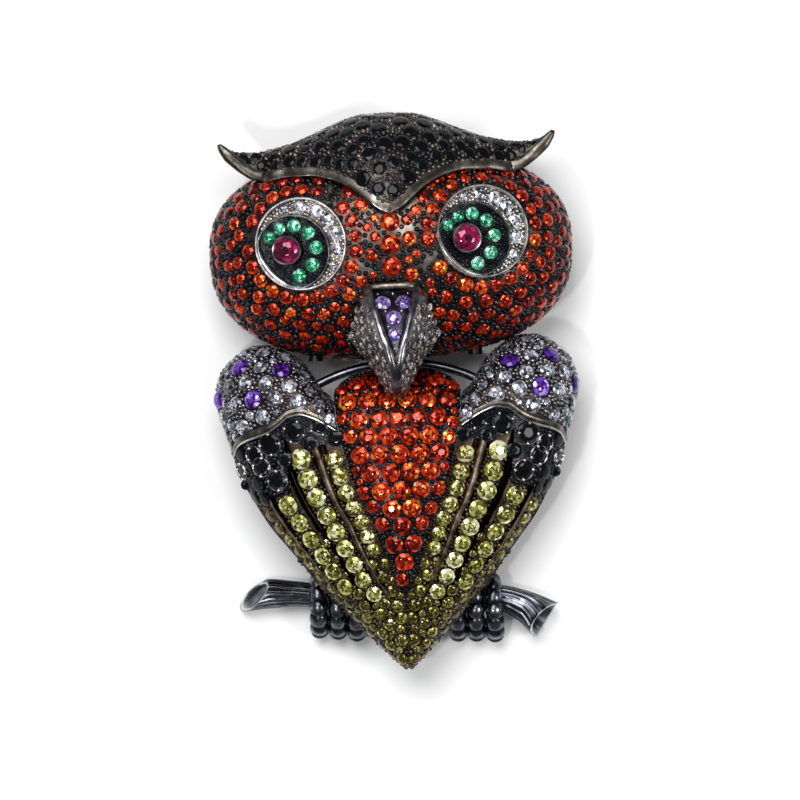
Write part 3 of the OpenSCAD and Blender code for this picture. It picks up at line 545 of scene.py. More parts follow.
def fill(cloud, taken, largest, smallest, gap):
    """Puts the largest round that fits into the widest space left, again and again."""
    points = cloud[:, :3]
    room = np.full(len(points), 1e9)
    for start in range(0, len(taken), 200):
        block = taken[start:start + 200]
        room = np.minimum(room, (distances(points, block[:, :3]) - block[:, 6] / 2).min(1))
    enough = largest / 2 + gap + 0.02 * np.sin(np.arange(len(room)))
    placed = []
    while True:
        k = int(np.minimum(room, enough).argmax())
        radius = min(largest / 2, room[k] - gap)
        if radius < smallest / 2:
            return np.array(placed).reshape(-1, 7)
        placed.append(np.append(cloud[k, :6], 2 * radius))
        room = np.minimum(room, np.linalg.norm(points - points[k], axis=1) - radius)


def fill_field(surface, u_span, v_span, tries, seed, keep, taken, largest, smallest, gap):
    """Fills the kept part of a surface, beside the places that are taken."""
    return fill(scatter(surface, u_span, v_span, tries, seed, keep), taken, largest, smallest, gap)


# %% [markdown]
# ## Stone colours
# A stone's material is a ramp over its painted sparkle: a painted reflection, nearly black, where a
# facet shows the dark metal behind the stone, the full colour over most of it, and a light tint
# where a painted flash lies. A part of metal in the shader stands for the mirror that the pavilion
# makes, and a clear coat for the polished surface.

# %% Stone materials
def gem(name, stops, mirror=0.55, roughness=0.12, coat=0.3, ior=1.5):
    material, tree, shader = new_material(name)
    colour_by(tree, mesh_number(tree, "sparkle"), stops, shader)
    shader.inputs["Metallic"].default_value = mirror
    shader.inputs["Roughness"].default_value = roughness
    shader.inputs["IOR"].default_value = ior
    shader.inputs["Coat Weight"].default_value = coat
    shader.inputs["Coat Roughness"].default_value = 0.03
    return material


# In each ramp the lowest stops are a painted reflection of the dark metal, and the top stops a painted
# flash
orange_gem = gem("orange_stone", [
    (0.0, (0.018, 0.0008, 0.0006)), (0.26, (0.11, 0.0030, 0.0012)), (0.52, (0.38, 0.0125, 0.0012)),
    (0.78, (0.79, 0.042, 0.002)), (0.94, (1.0, 0.105, 0.005)), (1.0, (1.0, 0.32, 0.045))], coat=0.10)
yellow_gem = gem("yellow_stone", [
    (0.0, (0.022, 0.017, 0.002)), (0.28, (0.11, 0.094, 0.008)), (0.55, (0.32, 0.305, 0.042)),
    (0.80, (0.66, 0.70, 0.22)), (1.0, (1.0, 1.0, 0.74))], coat=0.2)
olive_gem = gem("olive_stone", [
    (0.0, (0.012, 0.008, 0.002)), (0.38, (0.065, 0.050, 0.006)), (0.72, (0.21, 0.175, 0.022)),
    (0.92, (0.46, 0.43, 0.10)), (1.0, (0.95, 0.92, 0.5))], coat=0.2)
white_gem = gem("white_stone", [
    (0.0, (0.016, 0.016, 0.020)), (0.30, (0.075, 0.077, 0.095)), (0.58, (0.26, 0.27, 0.33)),
    (0.82, (0.66, 0.69, 0.80)), (1.0, (1.0, 1.0, 1.0))])
violet_gem = gem("violet_stone", [
    (0.0, (0.010, 0.002, 0.03)), (0.35, (0.05, 0.008, 0.18)), (0.7, (0.14, 0.03, 0.50)),
    (0.9, (0.32, 0.14, 0.85)), (1.0, (0.75, 0.6, 1.0))])
lilac_gem = gem("lilac_stone", [
    (0.0, (0.020, 0.010, 0.06)), (0.35, (0.11, 0.065, 0.27)), (0.65, (0.30, 0.21, 0.60)),
    (0.85, (0.64, 0.53, 0.88)), (1.0, (1.0, 0.94, 1.0))])
green_gem = gem("green_stone", [
    (0.0, (0.002, 0.03, 0.014)), (0.35, (0.005, 0.16, 0.07)), (0.7, (0.03, 0.48, 0.22)),
    (0.9, (0.16, 0.75, 0.42)), (1.0, (0.7, 1.0, 0.85))])
red_gem = gem("red_stone", [
    (0.0, (0.016, 0.001, 0.005)), (0.35, (0.10, 0.0015, 0.022)), (0.7, (0.31, 0.005, 0.070)),
    (0.9, (0.66, 0.04, 0.20)), (1.0, (1.0, 0.5, 0.68))], mirror=0.4, roughness=0.08, coat=0.35)
black_gem = gem("black_stone", [
    (0.0, (0.0015, 0.0015, 0.002)), (0.7, (0.004, 0.0045, 0.006)), (0.93, (0.022, 0.026, 0.034)),
    (1.0, (0.12, 0.13, 0.15))], mirror=0.0, roughness=0.07, coat=0.0, ior=1.25)
champagne_gem = gem("champagne_stone", [
    (0.0, (0.014, 0.012, 0.010)), (0.36, (0.075, 0.062, 0.052)), (0.68, (0.27, 0.235, 0.215)),
    (1.0, (1.0, 0.95, 0.90))])
print("stones:", [material.name for material in bpy.data.materials if "stone" in material.name])

# %% [markdown]
# ## The owl's sizes
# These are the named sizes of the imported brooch. The finer surfaces below repeat its own curves
# with them, so a stone that we set lies where its solid lies.

# %% Sizes of the head
HEAD_W, HEAD_UP, HEAD_DOWN, HEAD_FRONT, HEAD_BACK = 32.4, 8.9, 9.7, 8.0, 5.0
CHIN_GAP, WALL, SEAM, FIT = 1.1, 1.2, 0.12, 0.05
OUTLINE_POWER, DOME_POWER, REAR_SHARE = 2.45, 2.3, 1.4
BREAST_TOP = 1.95
HEAD_Y = BREAST_TOP + CHIN_GAP + HEAD_DOWN
HEAD_Z = HEAD_BACK
BEAK_TOP = HEAD_Y - 3.15


def head_point(turn, lift, inset=0.0):
    """Lift runs from 0 at the front's middle through 1 at the widest outline to 2 at the rim."""
    c = signed_pow(np.cos(turn), 2 / OUTLINE_POWER)
    s = signed_pow(np.sin(turn), 2 / OUTLINE_POWER)
    lean = np.clip(lift, 0, 1) * math.pi / 2
    back = np.maximum(lift - 1, 0) * HEAD_BACK
    share = np.where(lift <= 1, np.sin(lean) ** (2 / DOME_POWER),
                     arch(back / (HEAD_BACK * REAR_SHARE), DOME_POWER))
    high = (HEAD_FRONT - inset) * np.maximum(np.cos(lean), 0) ** (2 / DOME_POWER)
    return stack((HEAD_W / 2 - inset) * c * share,
                 HEAD_Y + (np.where(s >= 0, HEAD_UP, HEAD_DOWN) - inset) * s * share,
                 HEAD_Z + np.where(lift <= 1, high, -back))


def face_z(x, y):
    reach = (np.abs(x / (HEAD_W / 2)) ** OUTLINE_POWER
             + np.abs((y - HEAD_Y) / np.where(y >= HEAD_Y, HEAD_UP, HEAD_DOWN)) ** OUTLINE_POWER)
    return HEAD_Z + HEAD_FRONT * arch(reach ** (1 / OUTLINE_POWER), DOME_POWER)


def normal_on(height, x, y, step=0.05):
    """Normal of a surface that is given as a height over x and y."""
    return unit(stack(height(x - step, y) - height(x + step, y),
                      height(x, y - step) - height(x, y + step), 2 * step))


def places_on(height, x, y, diameters):
    return join_places(stack(x, y, height(x, y)), normal_on(height, x, y), diameters)


low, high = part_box("head")
print("head box:", [round(v / MM, 2) for v in (*low, *high)])

# %% [markdown]
# ## The eyes' places
# Each eye is a flat disc that is tilted outwards by eleven degrees, so that it follows the cheek.
# Everything in it is made flat first, round its own middle, and then put there by one matrix.

# %% Eye places
EYE_X, EYE_UP, EYE_R, EYE_TILT = HEAD_W / 2 * 0.506, 1.2, 4.2, math.radians(11)
RING_W, RING_H, EYE_FLOOR, IRIS_DROP = 0.25, 0.45, -0.1, 0.3
IRIS_R = EYE_R * 0.79
IRIS_AT = np.array([-EYE_R * 0.193, -EYE_R * 0.171])
PUPIL_AT = np.array([-EYE_R * 0.326, -EYE_R * 0.126])
PUPIL_D = 2.5
EYE_SLIP = (0.22, -0.42)  # One eye of the real brooch sits a little lower and further in


def eye_matrix(side):
    slip = EYE_SLIP if side < 0 else (0.0, 0.0)
    place = Matrix.Translation((side * EYE_X + slip[0], HEAD_Y + EYE_UP + slip[1],
                                float(face_z(EYE_X, HEAD_Y + EYE_UP))))
    return np.array(place @ Matrix.Rotation(side * EYE_TILT, 4, "Y"))


def into_eye(points, side):
    m = eye_matrix(side)
    return points @ m[:3, :3].T + m[:3, 3]


def places_into_eye(places, side):
    m = eye_matrix(side)[:3, :3]
    return join_places(into_eye(places[:, :3], side), places[:, 3:6] @ m.T, places[:, 6])


def from_eye(points, side):
    """Distance of points from the eye's axis."""
    m = eye_matrix(side)
    local = (points - m[:3, 3]) @ m[:3, :3]
    return np.hypot(local[:, 0], local[:, 1])


print("eye middle:", np.round(eye_matrix(1)[:3, 3], 2))

# %% [markdown]
# ## The crest's curves
# The crest is a cap with two ear tips. A short table gives its section at some distances from the
# middle, and a smooth curve through the table gives every section between.

# %% Crest curves
CREST_RISE, RIM_RISE, EAR_Z = 3.3, 0.9, 3.6
# Columns: x as a share of half the head's width, low edge, top, top outline's height, rear edge
CREST_ROWS = [
    (0.000, 0.380, 1.00, 0.60, -1.00), (0.050, 0.420, 0.99, 0.60, -1.00),
    (0.120, 0.530, 0.98, 0.60, -1.00), (0.200, 0.650, 0.90, 0.60, -1.00),
    (0.310, 0.745, 0.70, 0.62, -1.00), (0.430, 0.790, 0.45, 0.66, -1.00),
    (0.550, 0.790, 0.24, 0.70, -1.00), (0.670, 0.760, 0.11, 0.76, -1.00),
    (0.735, 0.775, 0.06, 0.80, -0.70), (0.790, 0.830, 0.07, 0.84, 0.05),
    (0.865, 0.935, 0.16, 0.92, 0.45), (0.930, 1.055, 0.33, 0.98, 0.62)]
CREST_END = CREST_ROWS[-1][0] * HEAD_W / 2


def crest_value(x, column):
    return along(CREST_ROWS, np.abs(x) / (HEAD_W / 2), column)


def crest_low(x):
    return HEAD_Y + HEAD_UP * crest_value(x, 1)


def crest_high(x):
    return HEAD_Y + HEAD_UP + CREST_RISE * crest_value(x, 2)


def crest_edge_z(x):
    return np.maximum(face_z(x, crest_low(x)) + RIM_RISE, HEAD_Z + EAR_Z)


def crest_point(x, t, inset=0.0):
    """T runs from 0 at the low edge over the front to 1 at the top, and down the back to 2."""
    thin = np.minimum(inset, (crest_high(x) - crest_low(x)) * 0.36)
    low, high = crest_low(x), crest_high(x) - thin
    top_z, edge_z = HEAD_Z + EAR_Z * crest_value(x, 3), crest_edge_z(x) - thin
    rear = crest_value(x, 4)
    rear_z = HEAD_Z + np.where(rear < 0, HEAD_BACK, EAR_Z) * rear
    over, down = np.clip(t, 0, 1) * math.pi / 2, np.clip(t - 1, 0, 1) * math.pi / 2
    tuck = (crest_high(x) - crest_low(x)) * 0.26
    return stack(x, np.where(t <= 1, mix(low, high, np.sin(over)), high - tuck * (1 - np.cos(down))),
                 np.where(t <= 1, mix(top_z, edge_z, np.cos(over)), mix(top_z, rear_z, np.sin(down))))


print("crest reaches", round(CREST_END, 2), "to each side")

# %% [markdown]
# ## The beak's curves
# A table gives the beak's section at ten stations, and smooth curves give those between. Two ridges
# run down the beak and meet near the tip, and the triangle between them is sunk to take four lilac
# stones.

# %% Beak curves
BEAK_W, BEAK_L, BEAK_RISE, BEAK_SINK = 8.3, 10.5, 3.0, 3.3
BEAK_RIB, BEAK_RIB_W, BEAK_EDGE = 0.3, 0.28, 0.35
# Columns: place down the beak, half width, half distance between the ridges, height, underside
BEAK_ROWS = [
    (0.000, 0.52, 0.42, 0.02, 0.00), (0.070, 0.68, 0.46, 0.25, 0.00), (0.123, 0.80, 0.44, 0.40, 0.00),
    (0.280, 0.86, 0.33, 0.72, 0.00), (0.443, 1.00, 0.215, 0.93, 0.00), (0.550, 0.82, 0.13, 1.00, 0.00),
    (0.652, 0.61, 0.085, 0.98, 0.02), (0.760, 0.46, 0.045, 0.86, 0.16), (0.870, 0.29, 0.04, 0.52, 0.32),
    (1.000, 0.07, 0.02, -0.35, 0.62)]


def beak_value(y, column):
    return along(BEAK_ROWS, (BEAK_TOP - y) / BEAK_L, column)


def beak_half(y):
    return BEAK_W / 2 * beak_value(y, 1)


def beak_ridge(y):
    return BEAK_W / 2 * beak_value(y, 2)


def beak_high(y):
    return HEAD_Z + HEAD_FRONT + BEAK_RISE * beak_value(y, 3)


def beak_low(y):
    return float(face_z(0, BEAK_TOP)) - BEAK_SINK + BEAK_RISE * beak_value(y, 4)


def beak_edge_z(y):
    return np.maximum(face_z(beak_half(y), y) + BEAK_EDGE, mix(beak_low(y), beak_high(y), 0.25))


print("beak from", round(BEAK_TOP, 2), "down to", round(BEAK_TOP - BEAK_L, 2))

# %% [markdown]
# ## The head
# The head is a hollow dome that is open at the back. We loft it ring by ring from the middle of
# the face to the rear rim, and back up inside. Two round windows are then cut for the eyes with
# Boolean modifiers, since a cut is cleaner than faces left out by hand. Two short pegs stand under
# the cheeks. The plating is worn most on the forehead, where the owl is touched, and along the rear
# rim. Between the forehead's stones eight webs of bare metal shine through, so their places come
# first.

# %% Wear on the forehead
# Columns: middle across and up, half length, half width, and turn in degrees
WEB_ROWS = np.array([
    (1.95, 17.1, 1.50, 0.42, 48), (-1.50, 17.1, 1.20, 0.28, -42), (1.50, 14.4, 0.50, 0.26, 20),
    (3.50, 11.6, 0.95, 0.28, 35), (-12.2, 14.4, 0.90, 0.26, -30), (-5.1, 18.5, 0.90, 0.18, 65),
    (12.6, 13.6, 0.80, 0.24, 20), (-2.7, 11.3, 0.70, 0.20, -35)])


def from_webs(x, y, grow):
    """Below 1 on the bare webs of metal, when each is grown all round by so much."""
    nearest = np.full(np.shape(x), 9.0)
    for web_x, web_y, long, wide, turned in WEB_ROWS:
        c, s = math.cos(math.radians(turned)), math.sin(math.radians(turned))
        a = ((x - web_x) * c + (y - web_y) * s) / (long + grow)
        b = ((y - web_y) * c - (x - web_x) * s) / (wide + grow)
        nearest = np.minimum(nearest, np.hypot(a, b))
    return nearest


def forehead_wear(points):
    x, y, z = points[:, 0], points[:, 1], points[:, 2]
    centre = 0.12 * np.exp(-((x / 7.0) ** 2 + ((y - HEAD_Y - 3.0) / 4.5) ** 2))
    webs = 0.35 * np.clip(1.6 - from_webs(x, y, 0.3), 0, 1) * (z > HEAD_Z)
    return np.clip(0.05 + centre + webs + 0.35 * np.clip((1.6 - z) / 1.0, 0, 1), 0, 1)


# %% The head's casting
def cut_out(piece, cutters):
    """Takes the cutters out of the piece with a Boolean modifier each, and removes them."""
    for number, (points, faces) in enumerate(cutters):
        mesh = new_mesh("cutter", points, faces)
        turn_outwards(mesh)
        cutter = add_object("cutter", mesh)
        boolean = piece.modifiers.new(f"cut_{number}", "BOOLEAN")
        boolean.operation, boolean.solver, boolean.object = "DIFFERENCE", "EXACT", cutter
        bpy.context.view_layer.update()
        cut = bpy.data.meshes.new_from_object(
            piece.evaluated_get(bpy.context.evaluated_depsgraph_get()))
        piece.modifiers.clear()
        old, piece.data = piece.data, cut
        bpy.data.meshes.remove(old)
        bpy.data.objects.remove(cutter)


turns = np.linspace(0, TURN, 160, endpoint=False)[None]
lifts = np.concatenate([np.linspace(0.03, 1, 40), np.linspace(1.08, 2, 12)])[:, None]
head_rings = np.concatenate([head_point(turns, lifts), head_point(turns, lifts[::-1], WALL)])
head_points, head_faces = loft(head_rings)
PEG_X, PEG_R, PEG_L = 7.2, 0.65, 1.65
peg, peg_faces = lathe([
    (PEG_R * 0.3, 0), (PEG_R, 0.0), (PEG_R, PEG_L * 0.8), (PEG_R * 0.85, PEG_L)], sides=24)
pegs = []
for side, _ in SIDES:
    upright = stack(peg[:, 0] + side * PEG_X, HEAD_Y - HEAD_DOWN - FIT + peg[:, 2],
                    HEAD_Z + PEG_R - peg[:, 1])
    pegs.append(part(upright, peg_faces, black_plating, wear=0.1))
head_piece = make_piece("head_casting", [
    part(head_points, head_faces, rubbed_plating, wear=forehead_wear(head_points)), *pegs], ["head"])
WINDOW_R = EYE_R - 0.16
window = lathe([(WINDOW_R, -HEAD_FRONT), (WINDOW_R, 3.0)], 64)
cut_out(head_piece, [(into_eye(window[0], side), window[1]) for side, _ in SIDES])
print("head with its windows:", len(head_piece.data.polygons), "faces")

# %% [markdown]
# ## The crest
# The crest is a plate over the top of the head, with a raised rim along its low edge and a thin
# bright wire beneath that. The rim thickens towards the ear tips and ends in a rounded tongue. We
# sweep it along the edge as a flattened wire, which is how a jeweller would solder it on.

# %% The crest's casting and rim
RIM_W, RIM_H, TIP_W, TIP_H, RIM_PAST = 0.46, 0.09, 0.56, 0.34, 0.12


def horn_share(x):
    """0 along the brow, rising to 1 at the ear tips."""
    return np.clip((np.abs(x) / CREST_END - 0.62) / 0.38, 0, 1)


def rim_half(x):
    return mix(RIM_W, TIP_W, horn_share(x))


xs = CREST_END * np.sin(np.linspace(-math.pi / 2, math.pi / 2, 151))[:, None]
ts = np.concatenate([np.linspace(0, 1, 26), np.linspace(1.1, 2, 10)])[None]
crest_outer, crest_inner = crest_point(xs, ts), crest_point(xs, ts, WALL)
crest_points, crest_faces = shell(crest_outer, crest_inner)

xr = np.linspace(-CREST_END - RIM_PAST, CREST_END + RIM_PAST, 181)
rim_at, horn = np.clip(xr, -CREST_END, CREST_END), horn_share(xr)
rim_end = np.clip(CREST_END + RIM_PAST - np.abs(xr), 0, 1) ** 0.5
rim_wide = rim_half(xr) * np.maximum(rim_end, 0.05)
rim_high = mix(RIM_H, TIP_H, horn) * np.maximum(rim_end, 0.05)
rim_path = stack(xr, crest_low(rim_at) + rim_half(xr) * 0.55 + 0.30 * horn ** 3,
                 crest_edge_z(rim_at) + 0.02)
rim_up = normal_on(lambda x, y: face_z(x * 0.9, HEAD_Y + (y - HEAD_Y) * 0.9),
                   rim_at, crest_low(rim_at))
rim_up = unit(mix(rim_up, np.array([0, -0.25, 1.0]), 0.6))
wire_path = rim_path - stack(0, rim_wide * 0.82 * np.maximum(rim_end, 0.2), 0.02)
wire_end = np.maximum(rim_end, 0.1)
make_piece("crest_casting", [
    part(crest_points, crest_faces, rubbed_plating, wear=0.04),
    wire(rubbed_plating, 0.40 - 0.02 * horn, rim_path, rim_up, rim_wide, rim_high, sides=14),
    wire(grey_plating, 0.75, wire_path, rim_up, 0.09 * wire_end, 0.15 * wire_end, sides=10)],
    ["crest"])

# %% [markdown]
# ## The face's stones
# Some three hundred orange stones cover the face. One row runs round each eye. The others are
# shared out over what is left of the dome beside the beak, below the crest's rim and in front of
# the plain rear band. The bare webs stay free, and three larger stones stand one above the other
# on the forehead.

# %% The face's field
FOREHEAD_D, FOREHEAD_PITCH = 1.65, 2.01
forehead_y = BEAK_TOP + FOREHEAD_D * 0.95 + FOREHEAD_PITCH * np.arange(3)
forehead = places_on(face_z, 0 * forehead_y, forehead_y, FOREHEAD_D * 1.1)


def head_surface(turn, lift):
    """The head, turned the other way round, so that the cross of its directions points out."""
    return head_point(-turn, lift)


def in_face(margin, web_room=0.1):
    """Says which points of the head lie in the orange field, drawn in by a margin."""
    def keep(points, turn, lift):
        x, y = points[:, 0], points[:, 1]
        beak = (y < BEAK_TOP + 0.25 + margin) & (np.abs(x) < beak_half(y) + 0.12 + margin)
        return ((from_eye(points, -1) > EYE_R + margin) & (from_eye(points, 1) > EYE_R + margin)
                & (y < crest_low(x) - 0.05 - margin) & ~beak & (lift < 1.62 - margin * 0.2)
                & (distances(points, forehead[:, :3]).min(1) > FOREHEAD_D / 2 + margin)
                & (from_webs(x, y, web_room) > 1))
    return keep


def area(surface, u_span, v_span, keep, density=None, tries=60000):
    """Area of the kept part of a surface, by trying many points on it."""
    rng = np.random.default_rng(1)
    u, v = rng.uniform(*u_span, tries), rng.uniform(*v_span, tries)
    points, _, stretch = surface_frame(surface, u, v)
    if density is not None:
        stretch = stretch * density(points)
    return float((stretch * keep(points, u, v)).sum() * np.ptp(u_span) * np.ptp(v_span) / tries)


EYE_ROW_R, EYE_ROW_END = EYE_R + 0.80, EYE_R + 1.45


def eye_row(side):
    """A row of stones round an eye, on the head's surface, where there is room for a whole stone."""
    angle = np.linspace(0, TURN, 22, endpoint=False) + 0.1
    middle = eye_matrix(side)[:3, 3]
    x = middle[0] + EYE_ROW_R * np.cos(angle) * math.cos(EYE_TILT)
    y = middle[1] + EYE_ROW_R * np.sin(angle)
    row = places_on(face_z, x, y, 0)
    return row[in_face(0.45, 0.35)(row[:, :3], None, np.zeros(len(row)))]


FACE_PITCH, FACE_D, LEFT_OUT = 1.52, 1.36, 4  # Four fewer, for the room that the rows take up
TURNS, LIFTS = (0, TURN), (0.02, 1.8)
face_keep = in_face(0.04, 0.4)
face_area = area(head_surface, TURNS, LIFTS, face_keep)
face_count = round(face_area / (0.9 * FACE_PITCH**2))
face_cloud = scatter(head_surface, TURNS, LIFTS, 12000, 11, face_keep)
around_eyes = np.vstack([eye_row(side) for side, _ in SIDES])
open_cloud = face_cloud[distances(face_cloud[:, :3], around_eyes[:, :3]).min(1) > 1.0]
for side, _ in SIDES:
    open_cloud = open_cloud[from_eye(open_cloud[:, :3], side) > EYE_ROW_END]
others = share_out(open_cloud, face_count - len(around_eyes) - LEFT_OUT, 12)
face = sized(np.vstack([around_eyes, others]), FACE_D, 0.10)
room = 2 * (distances(face[:, :3], forehead[:, :3]).min(1) - FOREHEAD_D * 0.55 - 0.04)
face[:, 6] = np.minimum(face[:, 6], room)
face = face[face[:, 6] > 0.7]
face[:, :3] -= face[:, 3:6] * 0.02
print("orange field:", round(face_area), "square mm,", len(face), "stones")

# %% [markdown]
# ## Beads between the stones
# Each stone is held by three or four beads that are raised from the metal between it and its
# neighbours. A bead goes into every gap that the stones leave, and small stones that a setter
# would squeeze into the widest gaps are not needed here, since the field is shared out evenly.

# %% The face's stones and beads
face_gaps = fill_field(head_surface, TURNS, LIFTS, 30000, 13, in_face(-0.02),
                       np.vstack([face, forehead]), largest=0.54, smallest=0.36, gap=-0.07)
# The face's stones take more painted shade where they stand on the steep cheeks
stone_piece("face_stones", [stones(face, orange_gem, 14, (0.43, 0.46, 0.50, 0.3), sides=0.42)])
stone_piece("forehead_stones_cut", [
    stones(forehead, orange_gem, 15, (0.60, 0.58, 0.58, 0.3), spread=0.45)],
    ["forehead_stones"])
make_piece("face_beads", [beads(face_gaps, black_plating, 16, wear=0.14)], turn=False)
print("beads on the face:", len(face_gaps))

# %% [markdown]
# ## The crest's black stones
# Black stones cover the crest, largest over the forehead and smaller towards the ear tips. The
# field's density and its patches follow the pitch that each place should have.

# %% The crest's stones and beads
def crest_pitch(points):
    return mix(1.84, 0.98, np.clip(np.abs(points[:, 0]) / CREST_END, 0, 1) ** 1.2)


def in_crest(margin):
    def keep(points, x, t):
        rim = rim_half(x) * 1.55
        return ((points[:, 1] > crest_low(x) + rim + margin) & (np.abs(x) < CREST_END - 0.35 - margin)
                & ((t < 1.32) | (np.abs(x) < CREST_END * 0.9)))
    return keep


def crest_density(points):
    return 1 / crest_pitch(points) ** 2


CREST_X, CREST_T = (-CREST_END, CREST_END), (0.02, 1.55)
crest_count = round(area(crest_point, CREST_X, CREST_T, in_crest(0.0), crest_density) / 0.9)
crest_cloud = scatter(crest_point, CREST_X, CREST_T, 9000, 21, in_crest(0.0), crest_density)
crest_stones = share_out(crest_cloud, crest_count, 22, pitch=crest_pitch)
crest_stones = sized(crest_stones, crest_pitch(crest_stones) * 0.87, 0.09)
crest_gaps = fill_field(crest_point, CREST_X, CREST_T, 16000, 23, in_crest(-0.1),
                        crest_stones, largest=0.46, smallest=0.31, gap=-0.06)
stone_piece("crest_stones", [
    stones(crest_stones, black_gem, 24, (0.2, 0.3, 0.5, 0.2), spread=0.4, cut=FLAT_CUT, tip=0.03)])
make_piece("crest_beads", [beads(crest_gaps, black_plating, 25, wear=0.38)], turn=False)
print("black stones on the crest:", len(crest_stones), "beads:", len(crest_gaps))

# %% [markdown]
# ## The eyes
# Each eye is a shallow silver cup. A second, smaller ring lies inside it and off its middle, which
# leaves a crescent for seven white stones. Inside the small ring the floor is lower and black, with
# seven green stones round a large red one in a collet. Toward the lower corner the two rings
# meet in a broad polished band. The eyes look the same way, so one flat drawing serves both.

# %% Eye metal
ROUND = np.linspace(0, TURN, 120, endpoint=False)
SPOKES = np.stack([np.cos(ROUND), np.sin(ROUND)], -1)
CUP_DEPTH, LEDGE_DEPTH, COLLET_DEPTH = -2.2, -1.0, -0.9
IRIS_RING_SIDES, COLLET_SIDES = 14, 72


def to_circle(start, direction, radius):
    """Distance from a start inside a circle round the origin to that circle."""
    ahead = (start * direction).sum(-1)
    return -ahead + np.sqrt(radius**2 - (start**2).sum(-1) + ahead**2)


def iris_loop(reach, height):
    """Points round the small ring's middle, at a reach and a height."""
    flat = IRIS_AT + SPOKES * np.asarray(reach).reshape(-1, 1)
    return np.column_stack([flat, np.full(len(SPOKES), height)])


corner = np.maximum(0, np.cos(ROUND - math.radians(222))) ** 2
band = mix(0.13, 0.34, corner)
iris_reach = np.minimum(IRIS_R, to_circle(IRIS_AT, SPOKES, EYE_R - 0.06) - band)
cup_edge = to_circle(IRIS_AT, SPOKES, EYE_R - RING_W / 2)
low_floor = EYE_FLOOR - IRIS_DROP
cup = lathe([(EYE_R - RING_W, CUP_DEPTH), (EYE_R - RING_W, RING_H - 0.09),
             (EYE_R - RING_W * 0.72, RING_H), (EYE_R - RING_W * 0.28, RING_H),
             (EYE_R, RING_H - 0.09), (EYE_R, CUP_DEPTH)], len(ROUND), loop=True)
ledge_in, ledge_out = iris_reach - 0.02, np.maximum(cup_edge, iris_reach)
ledge = loft(np.array([
    iris_loop(ledge_in, EYE_FLOOR), iris_loop(ledge_out, EYE_FLOOR),
    iris_loop(ledge_out, LEDGE_DEPTH), iris_loop(ledge_in, LEDGE_DEPTH)]), loop=True)
iris_floor = loft(np.array(
    [iris_loop(iris_reach * share, low_floor + 0.10 * share**6) for share in np.linspace(0.02, 1, 14)]
    + [iris_loop(iris_reach * share, LEDGE_DEPTH) for share in (1, 0.02)]))
ring_path = iris_loop(iris_reach, 0)
ring_path[:, 2] = -0.12 + 0.12 * corner
iris_ring = sweep(ring_path, np.array([0, 0, 1.0]), band, mix(0.36, 0.50, corner), IRIS_RING_SIDES,
                  loop=True)
RUBY_D = PUPIL_D * 0.93
collet_r = RUBY_D / 2 + 0.02
collet = lathe([
    (collet_r - 0.12, COLLET_DEPTH), (collet_r - 0.05, 0.10), (collet_r, 0.30), (collet_r + 0.07, 0.34),
    (collet_r + 0.20, 0.22), (collet_r + 0.30, low_floor), (collet_r + 0.30, COLLET_DEPTH)],
    COLLET_SIDES, loop=True)
collet = collet[0] + [*PUPIL_AT, 0], collet[1]
collet_wear = np.repeat([0.1, 0.3, 0.85, 0.7, 0.16, 0.05, 0.0], COLLET_SIDES)
print("eye's small ring reaches", round(float(iris_reach.max()), 2))

# %% Eye stones and beads
FLAT = np.array([0.0, 0.0, 1.0])


def spread_round(start, step, count, centre, near_of, far_of, height, size_of):
    """Stones in a row round a centre. Each is as large as the space between near and far allows."""
    rows = []
    for k in range(count):
        a = math.radians(start + step * k)
        direction = np.array([math.cos(a), math.sin(a)])
        near, far = near_of(direction), far_of(direction)
        at = centre + direction * (near + far) / 2
        rows.append([*at, height, *FLAT, size_of(near, far)])
    return np.array(rows)


RING_HALF, IRIS_STEP = 0.125, -35
crescent = spread_round(
    116, -25.5, 7, np.zeros(2), lambda d: to_circle(-IRIS_AT, d, IRIS_R) + RING_HALF,
    lambda d: EYE_R - RING_W, EYE_FLOOR, lambda near, far: min(1.36, far - near - 0.1))
iris = spread_round(
    143, IRIS_STEP, 7, PUPIL_AT, lambda d: PUPIL_D / 2 + 0.2,
    lambda d: to_circle(PUPIL_AT - IRIS_AT, d, IRIS_R) - RING_HALF, low_floor,
    lambda near, far: min(1.25, far - near - 0.1,
                          (near + far) * math.sin(math.radians(-IRIS_STEP / 2)) - 0.15))
pupil = np.array([[*PUPIL_AT, EYE_FLOOR + 0.275, *FLAT, RUBY_D]])
rng = np.random.default_rng(31)
disc = rng.uniform(-EYE_R, EYE_R, (16000, 2))
disc = join_places(np.column_stack([disc, np.zeros(len(disc))]), np.tile(FLAT, (len(disc), 1)), 0)
reach_out = np.hypot(disc[:, 0], disc[:, 1])
reach_in = np.hypot(disc[:, 0] - IRIS_AT[0], disc[:, 1] - IRIS_AT[1])
on_ledge = disc[(reach_out < EYE_R - RING_W - 0.08) & (reach_in > IRIS_R + 0.2)]
on_floor = disc[(reach_out < EYE_R - 0.7) & (reach_in < IRIS_R - 0.2)]
on_ledge[:, 2], on_floor[:, 2] = EYE_FLOOR, low_floor
ledge_beads = fill(on_ledge, crescent, largest=0.36, smallest=0.24, gap=-0.06)
collet_place = pupil + [0, 0, low_floor - pupil[0, 2], 0, 0, 0, 0.6]
floor_beads = fill(on_floor, np.vstack([iris, collet_place]), largest=0.42, smallest=0.2, gap=-0.05)

